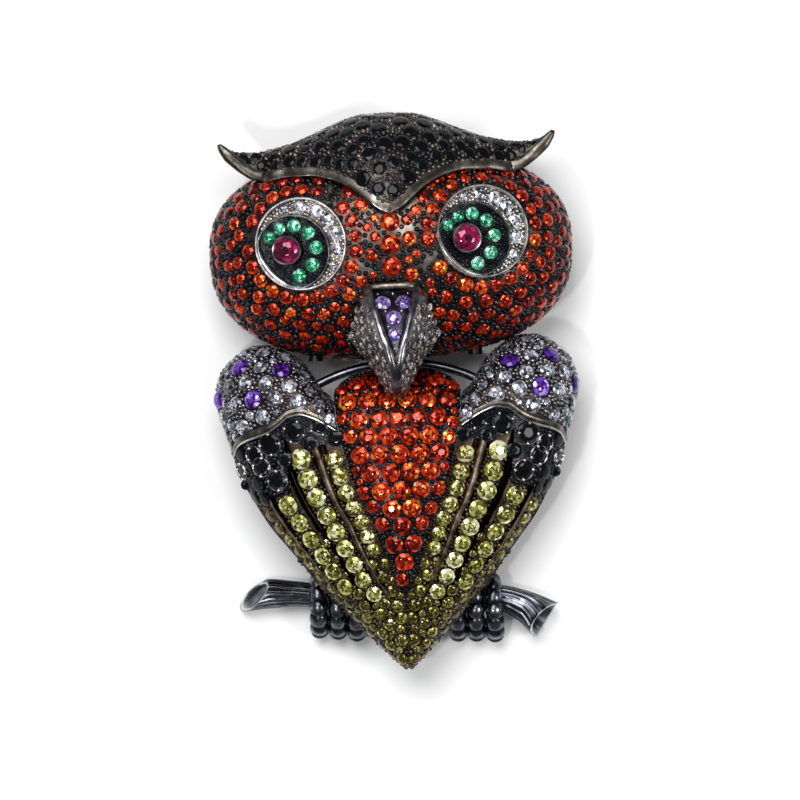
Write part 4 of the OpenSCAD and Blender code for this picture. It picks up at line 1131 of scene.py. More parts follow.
for side, name in SIDES:
    make_piece(f"eye_{name}_setting", [
        part(into_eye(points, side), faces, finish, wear=wear) for (points, faces), finish, wear in (
            (cup, grey_plating, 0.74), (ledge, brown_plating, 0.42), (iris_floor, black_plating, 0.02),
            (iris_ring, grey_plating, np.repeat(mix(0.40, 0.86, corner), IRIS_RING_SIDES)),
            (collet, grey_plating, collet_wear))] + [
        beads(places_into_eye(ledge_beads, side), grey_plating, 33, wear=0.85),
        beads(places_into_eye(floor_beads, side), black_plating, 34, wear=0.12)], [f"eye_{name}"])
    for kind, places, finish, slot, zones, spread in (
            ("crescent_stones", crescent, white_gem, "white_stone", (0.62, 0.58, 0.64, 0.3), 0.55),
            ("iris_stones", iris, green_gem, "green_stone", (0.80, 0.50, 0.66, 0.3), 0.42),
            ("pupil", pupil, red_gem, "red_stone", (0.05, 0.48, 0.58, 0.3), 0.34)):
        stone_piece(f"{kind}_{name}_cut", [
            stones(places_into_eye(places, side), finish, 35 + side, zones, spread, tip=0.03)],
            [f"{kind}_{name}"])

# %% [markdown]
# ## The beak
# The beak is cast in one. Its sections are rounded by cutting their corners twice, as filing
# would do. Polished ribs lie along the two ridges and meet above the tip. A lip crosses the top.
# Tiny champagne stones fill its flanks, and four lilac stones the sunk triangle.

# %% The beak's casting
def rounded(rings, rounds=2):
    """Cuts the corners off closed sections, which rounds their edges."""
    for _ in range(rounds):
        following = np.roll(rings, -1, axis=-2)
        pair = np.stack([rings * 0.8 + following * 0.2, rings * 0.2 + following * 0.8], axis=-2)
        rings = pair.reshape(*rings.shape[:-2], -1, 3)
    return rings


def beak_section(y):
    w, r, e, h, b = beak_half(y), beak_ridge(y), beak_edge_z(y), beak_high(y), beak_low(y)
    sunk = h - 0.3 * np.minimum(1, r / BEAK_RIB_W / 2)
    rib, shoulder = np.minimum(BEAK_RIB_W, r / 2), np.minimum(BEAK_RIB, r / 2)
    shoulder = np.minimum(shoulder, (w - r) / 2)
    half = [(w, b), (w, e), (r + shoulder, h - BEAK_RIB), (r, h), (r - rib, sunk)]
    return [[x, float(y), z] for x, z in half] + [[-x, float(y), z] for x, z in reversed(half)]


BEAK_TIP = BEAK_TOP - BEAK_L
beak_ys = np.linspace(BEAK_TOP, BEAK_TIP, 90)
beak_rings = rounded(np.array([beak_section(np.float64(y)) for y in beak_ys]))
beak_body, beak_faces = loft(beak_rings)
down = (BEAK_TOP - beak_body[:, 1]) / BEAK_L
inside = np.abs(beak_body[:, 0]) < beak_ridge(beak_body[:, 1]) - 0.05
beak_wear = np.where(inside & (down < 0.62), 0.0,
                     mix(0.40, 0.24, down) + 0.25 * np.clip(1 - down / 0.22, 0, 1))
RIB_OUT = [(0, 0.18), (0.45, 0.18), (0.72, 0.0), (1, -0.1)]
RIB_WIDE = [(0, 0.16), (0.1, 0.32), (0.5, 0.35), (0.68, 0.34), (0.8, 0.36), (0.92, 0.28), (1, 0.08)]
RIB_WEAR = [(0, 0.35), (0.15, 0.45), (0.3, 0.52), (0.62, 0.62), (0.7, 0.35), (1, 0.25)]
rib_ys = np.linspace(BEAK_TOP - 0.25, BEAK_TIP + 0.5, 70)
rib_down = (BEAK_TOP - rib_ys) / BEAK_L
rib_out, rib_wide, rib_wear = (
    np.interp(rib_down, *zip(*rows)) for rows in (RIB_OUT, RIB_WIDE, RIB_WEAR))
rib_x = np.maximum(beak_ridge(rib_ys) + rib_out, 0.03)
ribs = [wire(grey_plating, rib_wear, stack(side * rib_x, rib_ys, beak_high(rib_ys) - 0.10),
             FLAT, rib_wide, 0.2, sides=10) for side, _ in SIDES]
lip_x = np.linspace(-1, 1, 40)
lip_path = stack(lip_x * (beak_half(BEAK_TOP) + 0.22), BEAK_TOP - 0.16 - 0.25 * np.abs(lip_x) ** 5,
                 beak_high(BEAK_TOP - 0.3) - 0.05 - 0.35 * np.abs(lip_x) ** 3)
lip_end = np.maximum(1 - np.abs(lip_x) ** 8, 0.1)
lip_up = unit(np.array([0, 0.25, 1.0]))
lip = wire(rubbed_plating, 0.52, lip_path, lip_up, 0.34 * lip_end, 0.24 * lip_end)
print("beak sections:", len(beak_rings))

# %% The beak's stones
def flank(t, y):
    """The beak's flank on the right: t runs from its ridge at 0 to its edge at 1."""
    ridge_x, ridge_z = beak_ridge(y) + 0.16, beak_high(y) - 0.22
    return stack(mix(ridge_x, beak_half(y), t), y, mix(ridge_z, beak_edge_z(y), t))


def on_flank(points, t, y):
    down = (BEAK_TOP - y) / BEAK_L
    return ((points[:, 0] > beak_ridge(y) + 0.62) | (down > 0.7)) & (t > 0.12) & (t < 0.95) & (
        down > 0.17 + 0.05 * t) & (down < 0.93)


LILAC_D = 1.42
# Columns: place down the beak, across as a share of its width, and size
LILAC_ROWS = np.array([
    (0.160, -0.114, 1.03), (0.160, 0.114, 1.03), (0.292, 0.0, 0.97), (0.430, 0.0, 0.84)])
lilac_y = BEAK_TOP - BEAK_L * LILAC_ROWS[:, 0]
lilac_normal = unit(stack(0, beak_high(lilac_y - 1) - beak_high(lilac_y + 1), 2.0))
lilac = join_places(stack(BEAK_W * LILAC_ROWS[:, 1], lilac_y, beak_high(lilac_y) - BEAK_RIB + 0.05),
                    lilac_normal, LILAC_D * LILAC_ROWS[:, 2])
flank_cloud = scatter(flank, (0, 1), (BEAK_TIP, BEAK_TOP), 9000, 41, on_flank)
champagne = fill(flank_cloud, np.zeros((0, 7)), largest=0.80, smallest=0.46, gap=0.02)
flank_gaps = fill(flank_cloud, champagne, largest=0.26, smallest=0.20, gap=-0.05)
# Columns: place down the beak, across in millimetres, and size of the beads between the lilac stones
PANEL_ROWS = np.array([
    (0.085, 0, 0.28), (0.235, -0.72, 0.26), (0.235, 0.72, 0.26), (0.365, -0.50, 0.24),
    (0.365, 0.50, 0.24), (0.515, 0, 0.26), (0.56, 0, 0.24), (0.085, -1.35, 0.24), (0.085, 1.35, 0.24)])
panel_y = BEAK_TOP - BEAK_L * PANEL_ROWS[:, 0]
panel = join_places(stack(PANEL_ROWS[:, 1], panel_y, beak_high(panel_y) - BEAK_RIB + 0.04),
                    np.tile(FLAT, (len(panel_y), 1)), PANEL_ROWS[:, 2])
beak_beads = np.vstack([flank_gaps, mirrored(flank_gaps)])
make_piece("beak_casting", [
    part(beak_body, beak_faces, grey_plating, wear=beak_wear), lip, *ribs,
    beads(beak_beads, grey_plating, 42, wear=0.24),
    beads(panel, grey_plating, 43, wear=0.85)], ["beak"])
stone_piece("lilac_stones", [stones(lilac, lilac_gem, 44, spread=0.4)], ["beak_stones"])
stone_piece("champagne_stones", [
    stones(np.vstack([champagne, mirrored(champagne)]), champagne_gem, 45,
           (0.64, 0.56, 0.50, 0.2), spread=0.45, sides=0.1)])
print("champagne stones:", 2 * len(champagne), "beads:", len(beak_beads))

# %% [markdown]
# ## The body's curves
# The body is one dome that a table of half widths draws from the shoulders down to the tail. The
# breast lies between the inner edges, a little fuller. The wings, collars and shoulders lie
# outside them, and their places across are shares: 0 at the breast and 1 at the outline.

# %% Body curves
BODY_W, WING_L, WING_H, BODY_BACK, BODY_POWER = 33.1, 29.6, 6.5, 4.0, 2.6
SHOULDER_STEP, COLLAR_STEP, BREAST_BULGE = 0.6, 0.25, 1.2
WING_TOP = BREAST_TOP + 2.7
WING_TIP = WING_TOP - WING_L
# Columns: share of the wing's length down, outer and inner edge as shares of half the width, height
BODY_ROWS = [
    (0.0000, 0.725, 0.347, 1.00), (0.0135, 0.831, 0.347, 1.00), (0.0540, 0.918, 0.347, 1.00),
    (0.1150, 0.985, 0.347, 1.00), (0.1620, 1.000, 0.347, 1.00), (0.2230, 0.979, 0.338, 1.00),
    (0.2905, 0.946, 0.322, 1.00), (0.3510, 0.900, 0.292, 0.99), (0.4090, 0.864, 0.264, 0.97),
    (0.4830, 0.795, 0.222, 0.94), (0.5570, 0.716, 0.155, 0.90), (0.6110, 0.641, 0.128, 0.86),
    (0.6720, 0.556, 0.090, 0.81), (0.7300, 0.480, 0.050, 0.75), (0.7840, 0.390, 0.004, 0.69),
    (0.8890, 0.218, 0.004, 0.55), (0.9560, 0.106, 0.004, 0.45), (1.0000, 0.020, 0.004, 0.38)]


def body_value(y, column):
    return along(BODY_ROWS, (WING_TOP - y) / WING_L, column)


def outer_x(y):
    return BODY_W / 2 * body_value(y, 1)


def inner_x(y):
    return BODY_W / 2 * body_value(y, 2)


def wing_x(u, y):
    return mix(inner_x(y) + SEAM / 2, outer_x(y), u)


def body_rise(y):
    return WING_H * body_value(y, 3)


def wing_z(x, y):
    return BODY_BACK + body_rise(y) * arch(np.minimum(0.985, np.abs(x) / outer_x(y)), BODY_POWER)


def inside_share(size, drop):
    return np.maximum(0.6, 1 - drop / size)


def lowered(points, u, drop):
    """The inner side of a plate of the body."""
    x, y, z = points[..., 0], points[..., 1], points[..., 2]
    draw_in = outer_x(y) * (1 - inside_share(outer_x(y), drop)) * np.minimum(u, 1) ** 3
    return stack(x - draw_in, y, BODY_BACK + (z - BODY_BACK) * inside_share(body_rise(y), drop))


print("body from", round(WING_TOP, 2), "to", round(WING_TIP, 2))

# %% [markdown]
# ## The breast
# The breast is a heart-shaped plate, rounded over at its top, in near-black metal. Its orange
# stones stand in rows, each row set off by half a step from the next. Smaller ones finish the rows
# along its edges, where a full stone has no room.

# %% The breast's plate
THROAT_W = BODY_W * BODY_ROWS[0][2]
BREAST_TOP_ROWS = [(0.0, 0.40), (0.025, 0.63), (0.06, 0.80), (0.115, 0.93), (0.18, 1.0), (4.0, 1.0)]
BREAST_BOTTOM = WING_TOP - 0.765 * WING_L


def breast_half(y):
    top = np.interp((BREAST_TOP - y) / THROAT_W, *zip(*BREAST_TOP_ROWS))
    return np.minimum(inner_x(y) - SEAM / 2, THROAT_W / 2 * top)


def breast_throat(y):
    return np.maximum(0, (y - BREAST_TOP + 6) / 6)


def breast_z(x, y):
    s = np.minimum(1, np.abs(x) / breast_half(y))
    fuller = body_rise(y) + BREAST_BULGE * arch(s, 2)
    return (BODY_BACK + fuller * arch(breast_throat(y) * 0.967, DOME_POWER)
            * arch(x / outer_x(y), BODY_POWER))


def breast_point(s, y):
    x = breast_half(y) * s
    return stack(x, y, breast_z(x, y))


rows = BREAST_TOP - (BREAST_TOP - BREAST_BOTTOM) * np.linspace(1, 0, 80)[:, None] ** 1.6
across = np.sin(np.linspace(-math.pi / 2, math.pi / 2, 49))[None]
breast_outer = breast_point(across, rows)
breast_inner = lowered(breast_outer, 0, WALL)
breast_inner[..., 1] -= WALL * breast_throat(rows) ** 3
breast_body, breast_faces = shell(breast_outer, breast_inner)
print("breast rows:", len(rows))

# %% The breast's stones
BREAST_D, BREAST_PITCH = 1.5, 1.8
BREAST_ROW = BREAST_PITCH * 0.9
breast_rows = []
for j in range(round(WING_L / BREAST_ROW)):
    y = np.float64(BREAST_TOP - BREAST_D * 0.75 - j * BREAST_ROW)
    room = breast_half(y) - BREAST_D / 2 - 0.12
    if y > BREAST_BOTTOM + BREAST_D * 0.6 and room >= 0:
        spaces = int(2 * room / BREAST_PITCH)
        count = spaces + 1 if (spaces + j) % 2 == 0 or spaces == 0 else spaces
        breast_rows += [[(k - (count - 1) / 2) * BREAST_PITCH, y] for k in range(count)]
xy = np.array(breast_rows)
breast = places_on(breast_z, xy[:, 0], xy[:, 1], BREAST_D * 1.155)


def in_breast(margin):
    def keep(points, s, y):
        return ((np.abs(points[:, 0]) < breast_half(y) - margin)
                & (y > BREAST_BOTTOM + margin) & (y < BREAST_TOP - margin))
    return keep


BREAST_SPAN = (BREAST_BOTTOM, BREAST_TOP - 0.05)
breast_small = fill_field(breast_point, (-1, 1), BREAST_SPAN, 9000, 51, in_breast(0.45),
                          breast, largest=1.35, smallest=0.62, gap=0.04)
breast_gaps = fill_field(breast_point, (-1, 1), BREAST_SPAN, 16000, 52, in_breast(0.12),
                         np.vstack([breast, breast_small]), largest=0.50, smallest=0.34, gap=-0.08)
make_piece("breast_casting", [part(breast_body, breast_faces, black_plating, wear=0.05),
                              beads(breast_gaps, black_plating, 53, wear=0.12)], ["breast"])
SHADED_BELOW = -9.5  # The lowest rows lie in the shade between the wings
shaded = breast[:, 1] < SHADED_BELOW
stone_piece("breast_stones_cut", [
    stones(breast[~shaded], orange_gem, 54),
    stones(breast[shaded], orange_gem, 56, (0.40, 0.42, 0.46, 0.3)),
    stones(breast_small, orange_gem, 55, (0.42, 0.44, 0.48, 0.3))], ["breast_stones"])
print("breast stones:", len(breast), "small ones:", len(breast_small), "beads:", len(breast_gaps))

# %% [markdown]
# ## The shoulders
# Each shoulder is a rounded cap in lighter, worn metal, set with white stones and a few violet
# ones. Its low edge is a broad polished band with a thin bright wire below.

# %% Shoulder curves
# Columns: share across, the rim and the collar's low edge as shares of the length down, and the
# upper outline's half width and height
SHOULDER_ROWS = [
    (0.00, 0.272, 0.312, 0.350, 0.179), (0.10, 0.247, 0.308, 0.417, 0.140),
    (0.20, 0.228, 0.314, 0.462, 0.096), (0.30, 0.217, 0.312, 0.526, 0.051),
    (0.40, 0.223, 0.298, 0.610, 0.017), (0.46, 0.237, 0.284, 0.655, 0.005),
    (0.52, 0.252, 0.335, 0.697, 0.000), (0.60, 0.267, 0.445, 0.755, 0.000),
    (0.70, 0.279, 0.459, 0.822, 0.012), (0.80, 0.289, 0.463, 0.894, 0.041),
    (0.90, 0.307, 0.482, 0.955, 0.081), (1.00, 0.348, 0.500, 0.997, 0.162)]


def wing_y(u, column):
    return WING_TOP - WING_L * along(SHOULDER_ROWS, u, column)


def shoulder_point(u, t):
    low_x, low_y = wing_x(u, wing_y(u, 1)), wing_y(u, 1) + SEAM
    top_x = BODY_W / 2 * along(SHOULDER_ROWS, u, 3)
    high = wing_z(low_x, low_y) - BODY_BACK + SHOULDER_STEP * arch(u, 4)
    return stack(mix(low_x, top_x, t), mix(low_y, wing_y(u, 4), t),
                 BODY_BACK + high * (1 + 0.06 * np.sin(math.pi * t)) * arch(t * 0.995, DOME_POWER))


shoulder_us = np.linspace(1, 0, 80)[:, None]
shoulder_ts = np.sin(np.linspace(0, math.pi / 2, 40))[None]
shoulder_outer = shoulder_point(shoulder_us, shoulder_ts)
# Middle of the cap as shares of half the width and of the length, and its reach as a share of the width
CAP_ACROSS, CAP_DOWN, CAP_REACH = 0.665, 0.145, 0.139
draw = 1 - WALL / (BODY_W * CAP_REACH)
shoulder_inner = stack(mix(BODY_W / 2 * CAP_ACROSS, shoulder_outer[..., 0], draw),
                       mix(WING_TOP - WING_L * CAP_DOWN, shoulder_outer[..., 1], draw),
                       BODY_BACK + (shoulder_outer[..., 2] - BODY_BACK) * inside_share(WING_H, WALL))
shoulder_body, shoulder_faces = shell(shoulder_outer, shoulder_inner)
rim_u = np.linspace(0.015, 0.985, 90)
rim_normal = surface_frame(shoulder_point, rim_u, np.full(90, 0.06))[1]
broad_rim = sweep(shoulder_point(rim_u, 0.045) + rim_normal * 0.02, rim_normal, 0.30, 0.15)
thin_path = shoulder_point(rim_u, 0.0) + rim_normal * 0.03 + [0, -0.06, 0]
thin_rim = sweep(thin_path, rim_normal, 0.09, 0.16, sides=8)

# %% Shoulder stones
# Columns: share across, share from the rim up to the outline, and 1 for a violet stone
SHOULDER_STONE_ROWS = np.array([
    (0.31, 0.20, 0), (0.63, 0.18, 0), (0.82, 0.17, 0), (0.13, 0.42, 0), (0.50, 0.32, 0),
    (0.69, 0.42, 1), (0.84, 0.48, 0), (0.37, 0.47, 0), (0.56, 0.55, 0), (0.73, 0.64, 0),
    (0.42, 0.69, 1), (0.585, 0.75, 0), (0.86, 0.74, 0), (0.26, 0.78, 0), (0.75, 0.84, 1),
    (0.40, 0.89, 0), (0.55, 0.91, 0), (0.97, 0.60, 0), (0.965, 0.86, 1)])
SHOULDER_D, VIOLET_D = 1.52, 1.78
violet = SHOULDER_STONE_ROWS[:, 2] == 1
shoulder_all = places_at(shoulder_point, SHOULDER_STONE_ROWS[:, 0], SHOULDER_STONE_ROWS[:, 1],
                         np.where(violet, VIOLET_D, SHOULDER_D))


def in_shoulder(low, high):
    def keep(points, u, t):
        return (t > low) & (t < high) & (u > 0.03) & (u < 0.985)
    return keep


shoulder_small = fill_field(shoulder_point, (0, 1), (0, 1), 9000, 61, in_shoulder(0.15, 0.97),
                            shoulder_all, largest=1.25, smallest=0.72, gap=0.08)
shoulder_gaps = fill_field(shoulder_point, (0, 1), (0, 1), 14000, 62, in_shoulder(0.11, 0.985),
                           np.vstack([shoulder_all, shoulder_small]),
                           largest=0.46, smallest=0.32, gap=-0.06)
print("shoulder stones:", len(shoulder_all), "+", len(shoulder_small), "beads:", len(shoulder_gaps))

# %% [markdown]
# ## The collars and the wings
# Under the shoulder's rim lie big black stones in thin collets with prongs, and below them the
# feathers: four columns of yellow and olive stones, with smooth brown shafts and dark grooves
# between. On the tail the columns run together in a close pavé.

# %% Wing surface
# Columns: share across, half width, and height of each shaft
SHAFT_ROWS = [(0.235, 0.042, 0.40), (0.575, 0.026, 0.36), (0.845, 0.022, 0.36)]


def bump(u, middle, half_width):
    return np.exp(-(((u - middle) / half_width) ** 2))


def shafts(u, y):
    """Height of the shafts between the columns of stones, which fades out above the tail."""
    height = sum(tall * bump(u, middle, half_width) for middle, half_width, tall in SHAFT_ROWS)
    return height * np.clip((y - WING_TIP) / 9.5 - 0.35, 0, 1)


def grooves(u, y):
    """Depth of the grooves beside the shafts, which run further down."""
    broad = np.maximum(0.032, 0.36 / (outer_x(y) - inner_x(y)))
    # Columns: share across, half width, and depth
    rows = ((0.175, 0.022, 0.30), (0.295, 0.022, 0.25), (0.525, broad, 0.70), (0.805, 0.018, 0.45))
    depth = sum(deep * bump(u, middle, half_width) for middle, half_width, deep in rows)
    return depth * np.clip((y - WING_TIP) / 5.0 - 0.45, 0, 1)


def wing_surface(u, y, relief=1.0, step=0.0):
    x = wing_x(u, y)
    return stack(x, y, wing_z(x, y) + ((shafts(u, y) - grooves(u, y)) * relief + step) * arch(u, 6))


def bare_wing(u, y):
    """The wing without its shafts and grooves. Stones are placed on it."""
    return wing_surface(u, y, 0.0)


def bare_collar(u, y):
    return wing_surface(u, y, 0.0, COLLAR_STEP)


def down_wing(down):
    return WING_TOP - down * WING_L


wing_us = np.linspace(0, 1, 120)[None]
wing_low = wing_y(wing_us, 2)
wing_ys = mix(WING_TIP, wing_low, np.linspace(0, 1, 76)[:, None])
wing_outer = wing_surface(wing_us, wing_ys)
wing_inner = lowered(bare_wing(wing_us, wing_ys), wing_us, WALL)
closing = 0.124 * np.clip(1 - wing_us / 0.08, 0, 1) * (wing_ys < down_wing(0.77))
wing_outer[..., 0] -= closing
wing_inner[..., 0] -= closing
wing_body, wing_faces = shell(wing_outer, wing_inner)
wing_wear = 0.20 + 0.9 * shafts(wing_us, wing_ys) - 0.8 * grooves(wing_us, wing_ys)
wing_wear = np.maximum(np.concatenate([wing_wear.ravel(), np.full(wing_wear.size, 0.2)]), 0)
collar_ys = mix(wing_low + 0.05, wing_y(wing_us, 1) - SEAM / 2, np.linspace(0, 1, 24)[:, None])
collar_outer = bare_collar(wing_us, collar_ys)
collar_body, collar_faces = shell(collar_outer, lowered(collar_outer, wing_us, WALL))

# %% Feather stones
FEATHER_D, FEATHER_GAP = 1.75, 0.16
# Columns: share across, first and last place as shares of the length down, first and last size
FEATHER_ROWS = [(0.105, 0.356, 0.640, 0.84, 0.66), (0.400, 0.350, 0.775, 1.00, 0.78),
                (0.700, 0.490, 0.750, 0.98, 0.84), (0.920, 0.520, 0.690, 0.70, 0.66)]
columns = []
for u, start, end, first, last in FEATHER_ROWS:
    down, column = start, []
    while down <= end:
        size = FEATHER_D * mix(first, last, (down - start) / (end - start))
        column.append([u, down, size])
        here, there = (bare_wing(np.float64(u), down_wing(d)) for d in (down, down + 0.01))
        down += (size + FEATHER_GAP) / (np.linalg.norm(there - here) / 0.01)
    columns.append(np.array(column))


GROWTH = (1.12, 1.08, 1.08, 1.10)  # The shown stones hide the rims of their seats
feathers = [places_at(bare_wing, column[:, 0], down_wing(column[:, 1]), column[:, 2] * growth)
            for column, growth in zip(columns, GROWTH)]
feather_all = np.vstack(feathers)


def in_tail(margin):
    def keep(points, u, y):
        down = (WING_TOP - y) / WING_L
        x = points[:, 0]
        inner = (x > inner_x(y) + 0.25 + margin) & (x > 0.35 + margin)
        groove = (grooves(u, y) > 0.22) | (np.abs(u - 0.235) < 0.05) & (down < 0.66)
        groove |= (np.abs(u - 0.815) < 0.03) & (down < 0.72)
        return (down > 0.60) & (down < 0.975) & inner & (x < outer_x(y) * 0.955 - margin) & ~groove
    return keep


def near_feathers(points, u, y):
    beside = distances(points, feather_all[:, :3]).min(1) < 1.12
    return (beside | (y < down_wing(0.66))) & (grooves(u, y) < 0.28)


tail_stones = fill_field(bare_wing, (0, 1), (WING_TIP, down_wing(0.58)), 12000, 71, in_tail(0.1),
                         feather_all, largest=1.15, smallest=0.55, gap=0.05)
wing_gaps = fill_field(bare_wing, (0, 1), (WING_TIP, down_wing(0.34)), 22000, 72, near_feathers,
                       np.vstack([feather_all, tail_stones]), largest=0.42, smallest=0.28, gap=-0.05)
print("feather stones:", [len(c) for c in columns], "tail:", len(tail_stones), "beads:", len(wing_gaps))

# %% Collar stones
# Columns: across and up in millimetres, and size
BIG_BLACK_ROWS = np.array([
    (9.33, -3.26, 1.9), (11.56, -4.29, 1.9), (7.06, -2.91, 1.6), (13.0, -5.2, 1.6),
    (12.4, -6.28, 1.7), (11.0, -7.54, 1.8), (14.2, -6.6, 1.5)])
big_x, big_y, big_d = BIG_BLACK_ROWS.T
big_u = (big_x - inner_x(big_y)) / (outer_x(big_y) - inner_x(big_y))
collar_big = places_at(bare_collar, big_u, big_y, big_d)


def in_collar(margin):
    def keep(points, u, y):
        return ((y < wing_y(u, 1) - 0.15 - margin) & (y > wing_y(u, 2) + margin)
                & (u < 0.985) & (u > 0.02))
    return keep


COLLAR_SPAN = (down_wing(0.52), down_wing(0.2))
collar_small = fill_field(bare_collar, (0, 1), COLLAR_SPAN, 8000, 73, in_collar(0.25),
                          collar_big, largest=1.5, smallest=0.85, gap=0.16)
collar_stones = np.vstack([collar_big, collar_small])
collar_gaps = fill_field(bare_collar, (0, 1), COLLAR_SPAN, 8000, 74, in_collar(0.1),
                         collar_stones, largest=0.40, smallest=0.37, gap=-0.04)


def collets(places, half_width, half_height):
    """A thin rim of metal round each stone."""
    around, across = frames(places[:, 3:6], np.zeros(len(places)))
    angle = np.linspace(0, TURN, 32, endpoint=False)[:, None]
    rims = []
    for place, a, b in zip(places, around, across):
        loop = place[:3] + (np.cos(angle) * a + np.sin(angle) * b) * (place[6] / 2 + half_width * 0.5)
        rims.append(sweep(loop, place[3:6], half_width, half_height, sides=8, loop=True))
    return rims


def prongs(places, others, size, seed):
    """Four polished prongs on the edge of each stone, where no other stone lies."""
    turned = np.random.default_rng(seed).uniform(0, TURN, len(places))
    found = []
    for quarter in range(4):
        outwards, _ = frames(places[:, 3:6], turned + quarter * TURN / 4)
        at = places[:, :3] + outwards * places[:, 6:] * 0.49 + places[:, 3:6] * 0.12
        found.append(join_places(at, places[:, 3:6], size))
    found = np.vstack(found)
    clear = (distances(found[:, :3], others[:, :3]) > others[:, 6] * 0.45).all(1)
    return found[clear]


collar_prongs = prongs(collar_big, collar_stones, size=0.34, seed=76)
collar_collets = collets(collar_big, half_width=0.10, half_height=0.24)
print("collar stones:", len(collar_big), "+", len(collar_small), "beads:", len(collar_gaps))

# %% [markdown]
# ## Both sides
# The body's right side is modelled, and the left one is its mirror image. A mirrored mesh turns
# its faces inside out, so each face's points are put in the opposite order. Stones and beads are
# made anew at mirrored places, each side with its own chance.

# %% Shoulders, collars and wings on both sides
def flip(shape, side):
    points, faces = shape
    if side > 0:
        return points, faces
    return points * [-1, 1, 1], [face[::-1] for face in faces]


def own(places, side):
    return places if side > 0 else mirrored(places)


WHITE_LIGHT, WHITE_SMALL_LIGHT = (0.74, 0.66, 0.44, 0.2), (0.68, 0.60, 0.42, 0.2)
FEATHER_LOOKS = [
    (olive_gem, (0.78, 0.70, 0.74, 0.3)), (yellow_gem, (0.62, 0.55, 0.62, 0.3)),
    (yellow_gem, (0.45, 0.42, 0.5, 0.3)), (olive_gem, (0.6, 0.5, 0.6, 0.3)),
    (olive_gem, (0.43, 0.39, 0.46, 0.25))]
for side, name in SIDES:
    seed = 80 + 20 * side
    make_piece(f"shoulder_{name}_casting", [
        part(*flip((shoulder_body, shoulder_faces), side), brown_plating, wear=0.22),
        part(*flip(broad_rim, side), rubbed_plating, wear=0.47),
        part(*flip(thin_rim, side), grey_plating, wear=0.8),
        beads(own(shoulder_gaps, side), grey_plating, seed, wear=0.48)], [f"shoulder_{name}"])
    stone_piece(f"shoulder_{name}_white", [
        stones(own(shoulder_all[~violet], side), white_gem, seed + 1, WHITE_LIGHT, spread=0.45),
        stones(own(shoulder_small, side), white_gem, seed + 2, WHITE_SMALL_LIGHT, spread=0.45)],
        [f"shoulder_stones_{name}"])
    stone_piece(f"shoulder_{name}_violet", [
        stones(own(shoulder_all[violet], side), violet_gem, seed + 3)],
        [f"violet_stones_{name}"])
    make_piece(f"collar_{name}_casting", [
        part(*flip((collar_body, collar_faces), side), black_plating, wear=0.04)]
        + [part(*flip(rim, side), grey_plating, wear=0.62) for rim in collar_collets]
        + [beads(own(collar_gaps, side), black_plating, seed + 4, wear=0.25),
           # The prongs are real beads, but their near-white silver is a painted glint on dark polished
           # metal
           beads(own(collar_prongs, side), grey_plating, seed + 12, height=1.0, sink=0.0, wear=0.95)],
        [f"collar_{name}"])
    stone_piece(f"collar_{name}_stones", [
        stones(own(collar_stones, side), black_gem, seed + 5, (0.2, 0.4, 0.6, 0.2), spread=0.4,
               lift=0.02, cut=FLAT_CUT)])
    make_piece(f"wing_{name}_casting", [
        part(*flip((wing_body, wing_faces), side), brown_plating, wear=wing_wear),
        beads(own(wing_gaps, side), brown_plating, seed + 6, wear=0.36)], [f"wing_{name}"])
    stone_piece(f"wing_{name}_yellow", [
        stones(own(places, side), finish, seed + 7 + k, light)
        for k, (places, (finish, light)) in enumerate(zip(feathers + [tail_stones], FEATHER_LOOKS))],
        [f"feather_stones_{name}"])

# %% [markdown]
# ## The branch
# The perch is a piece of branch, solid silver with lengthwise bark lines. Both ends are cut on a
# slant. The left one has a raised oval rim, and the right one flares and is hollowed. Rings follow
# the bent axis, and the bark is a slow wave in their radius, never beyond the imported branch.

# %% The branch
PERCH_Y = WING_TIP + 6.3
BRANCH_R, BRANCH_L, BRANCH_START, BRANCH_SIDES = 1.15, 26.4, -0.52, 96
BRANCH_Z = BRANCH_R + 0.02
# Columns: share of the length, how far the axis moves up and to the front, and the thickness
BRANCH_ROWS = [
    (0.000, 0.55, 0.20, 1.20), (0.055, 0.72, 0.18, 1.17), (0.140, 0.62, 0.05, 1.02),
    (0.240, 0.34, 0.00, 0.95), (0.400, -0.05, 0.00, 0.98), (0.520, -0.15, 0.00, 1.00),
    (0.700, -0.25, 0.00, 1.00), (0.850, -0.45, 0.05, 1.03), (0.930, -1.20, 0.30, 1.27),
    (1.000, -2.25, 0.62, 1.58)]


def branch_axis(share):
    return stack(BRANCH_L * (BRANCH_START + share), PERCH_Y + BRANCH_R * along(BRANCH_ROWS, share, 1),
                 BRANCH_Z + BRANCH_R * along(BRANCH_ROWS, share, 2))


def branch_ring(share, size=1.0, ahead=0.0, bark=1.0):
    """A ring round the axis. Size scales it, and ahead pushes it along the branch."""
    angle = np.linspace(0, TURN, BRANCH_SIDES, endpoint=False)
    along_it = unit(branch_axis(min(share + 0.01, 1.0)) - branch_axis(max(share - 0.01, 0.0)))
    up = unit(np.array([-along_it[1], along_it[0], 0]))
    lines = ((0.5 + 0.5 * np.sin(11 * angle + 5 * share)) ** 3
             + (0.5 + 0.5 * np.sin(17 * angle - 9 * share + 1)) ** 4)
    r = BRANCH_R * along(BRANCH_ROWS, share, 3) * size * (1 - 0.055 * bark * lines)
    rise, front = r * np.cos(angle), r * np.sin(angle)
    slant, last_slant = max(0, 1 - share / 0.055), max(0, 1 - (1 - share) / 0.08)
    shift = slant * (0.9 * rise + 0.7 * front) - last_slant * 0.7 * np.maximum(front, 0)
    return branch_axis(share) + rise[:, None] * up + ahead * along_it + stack(shift, 0, front)


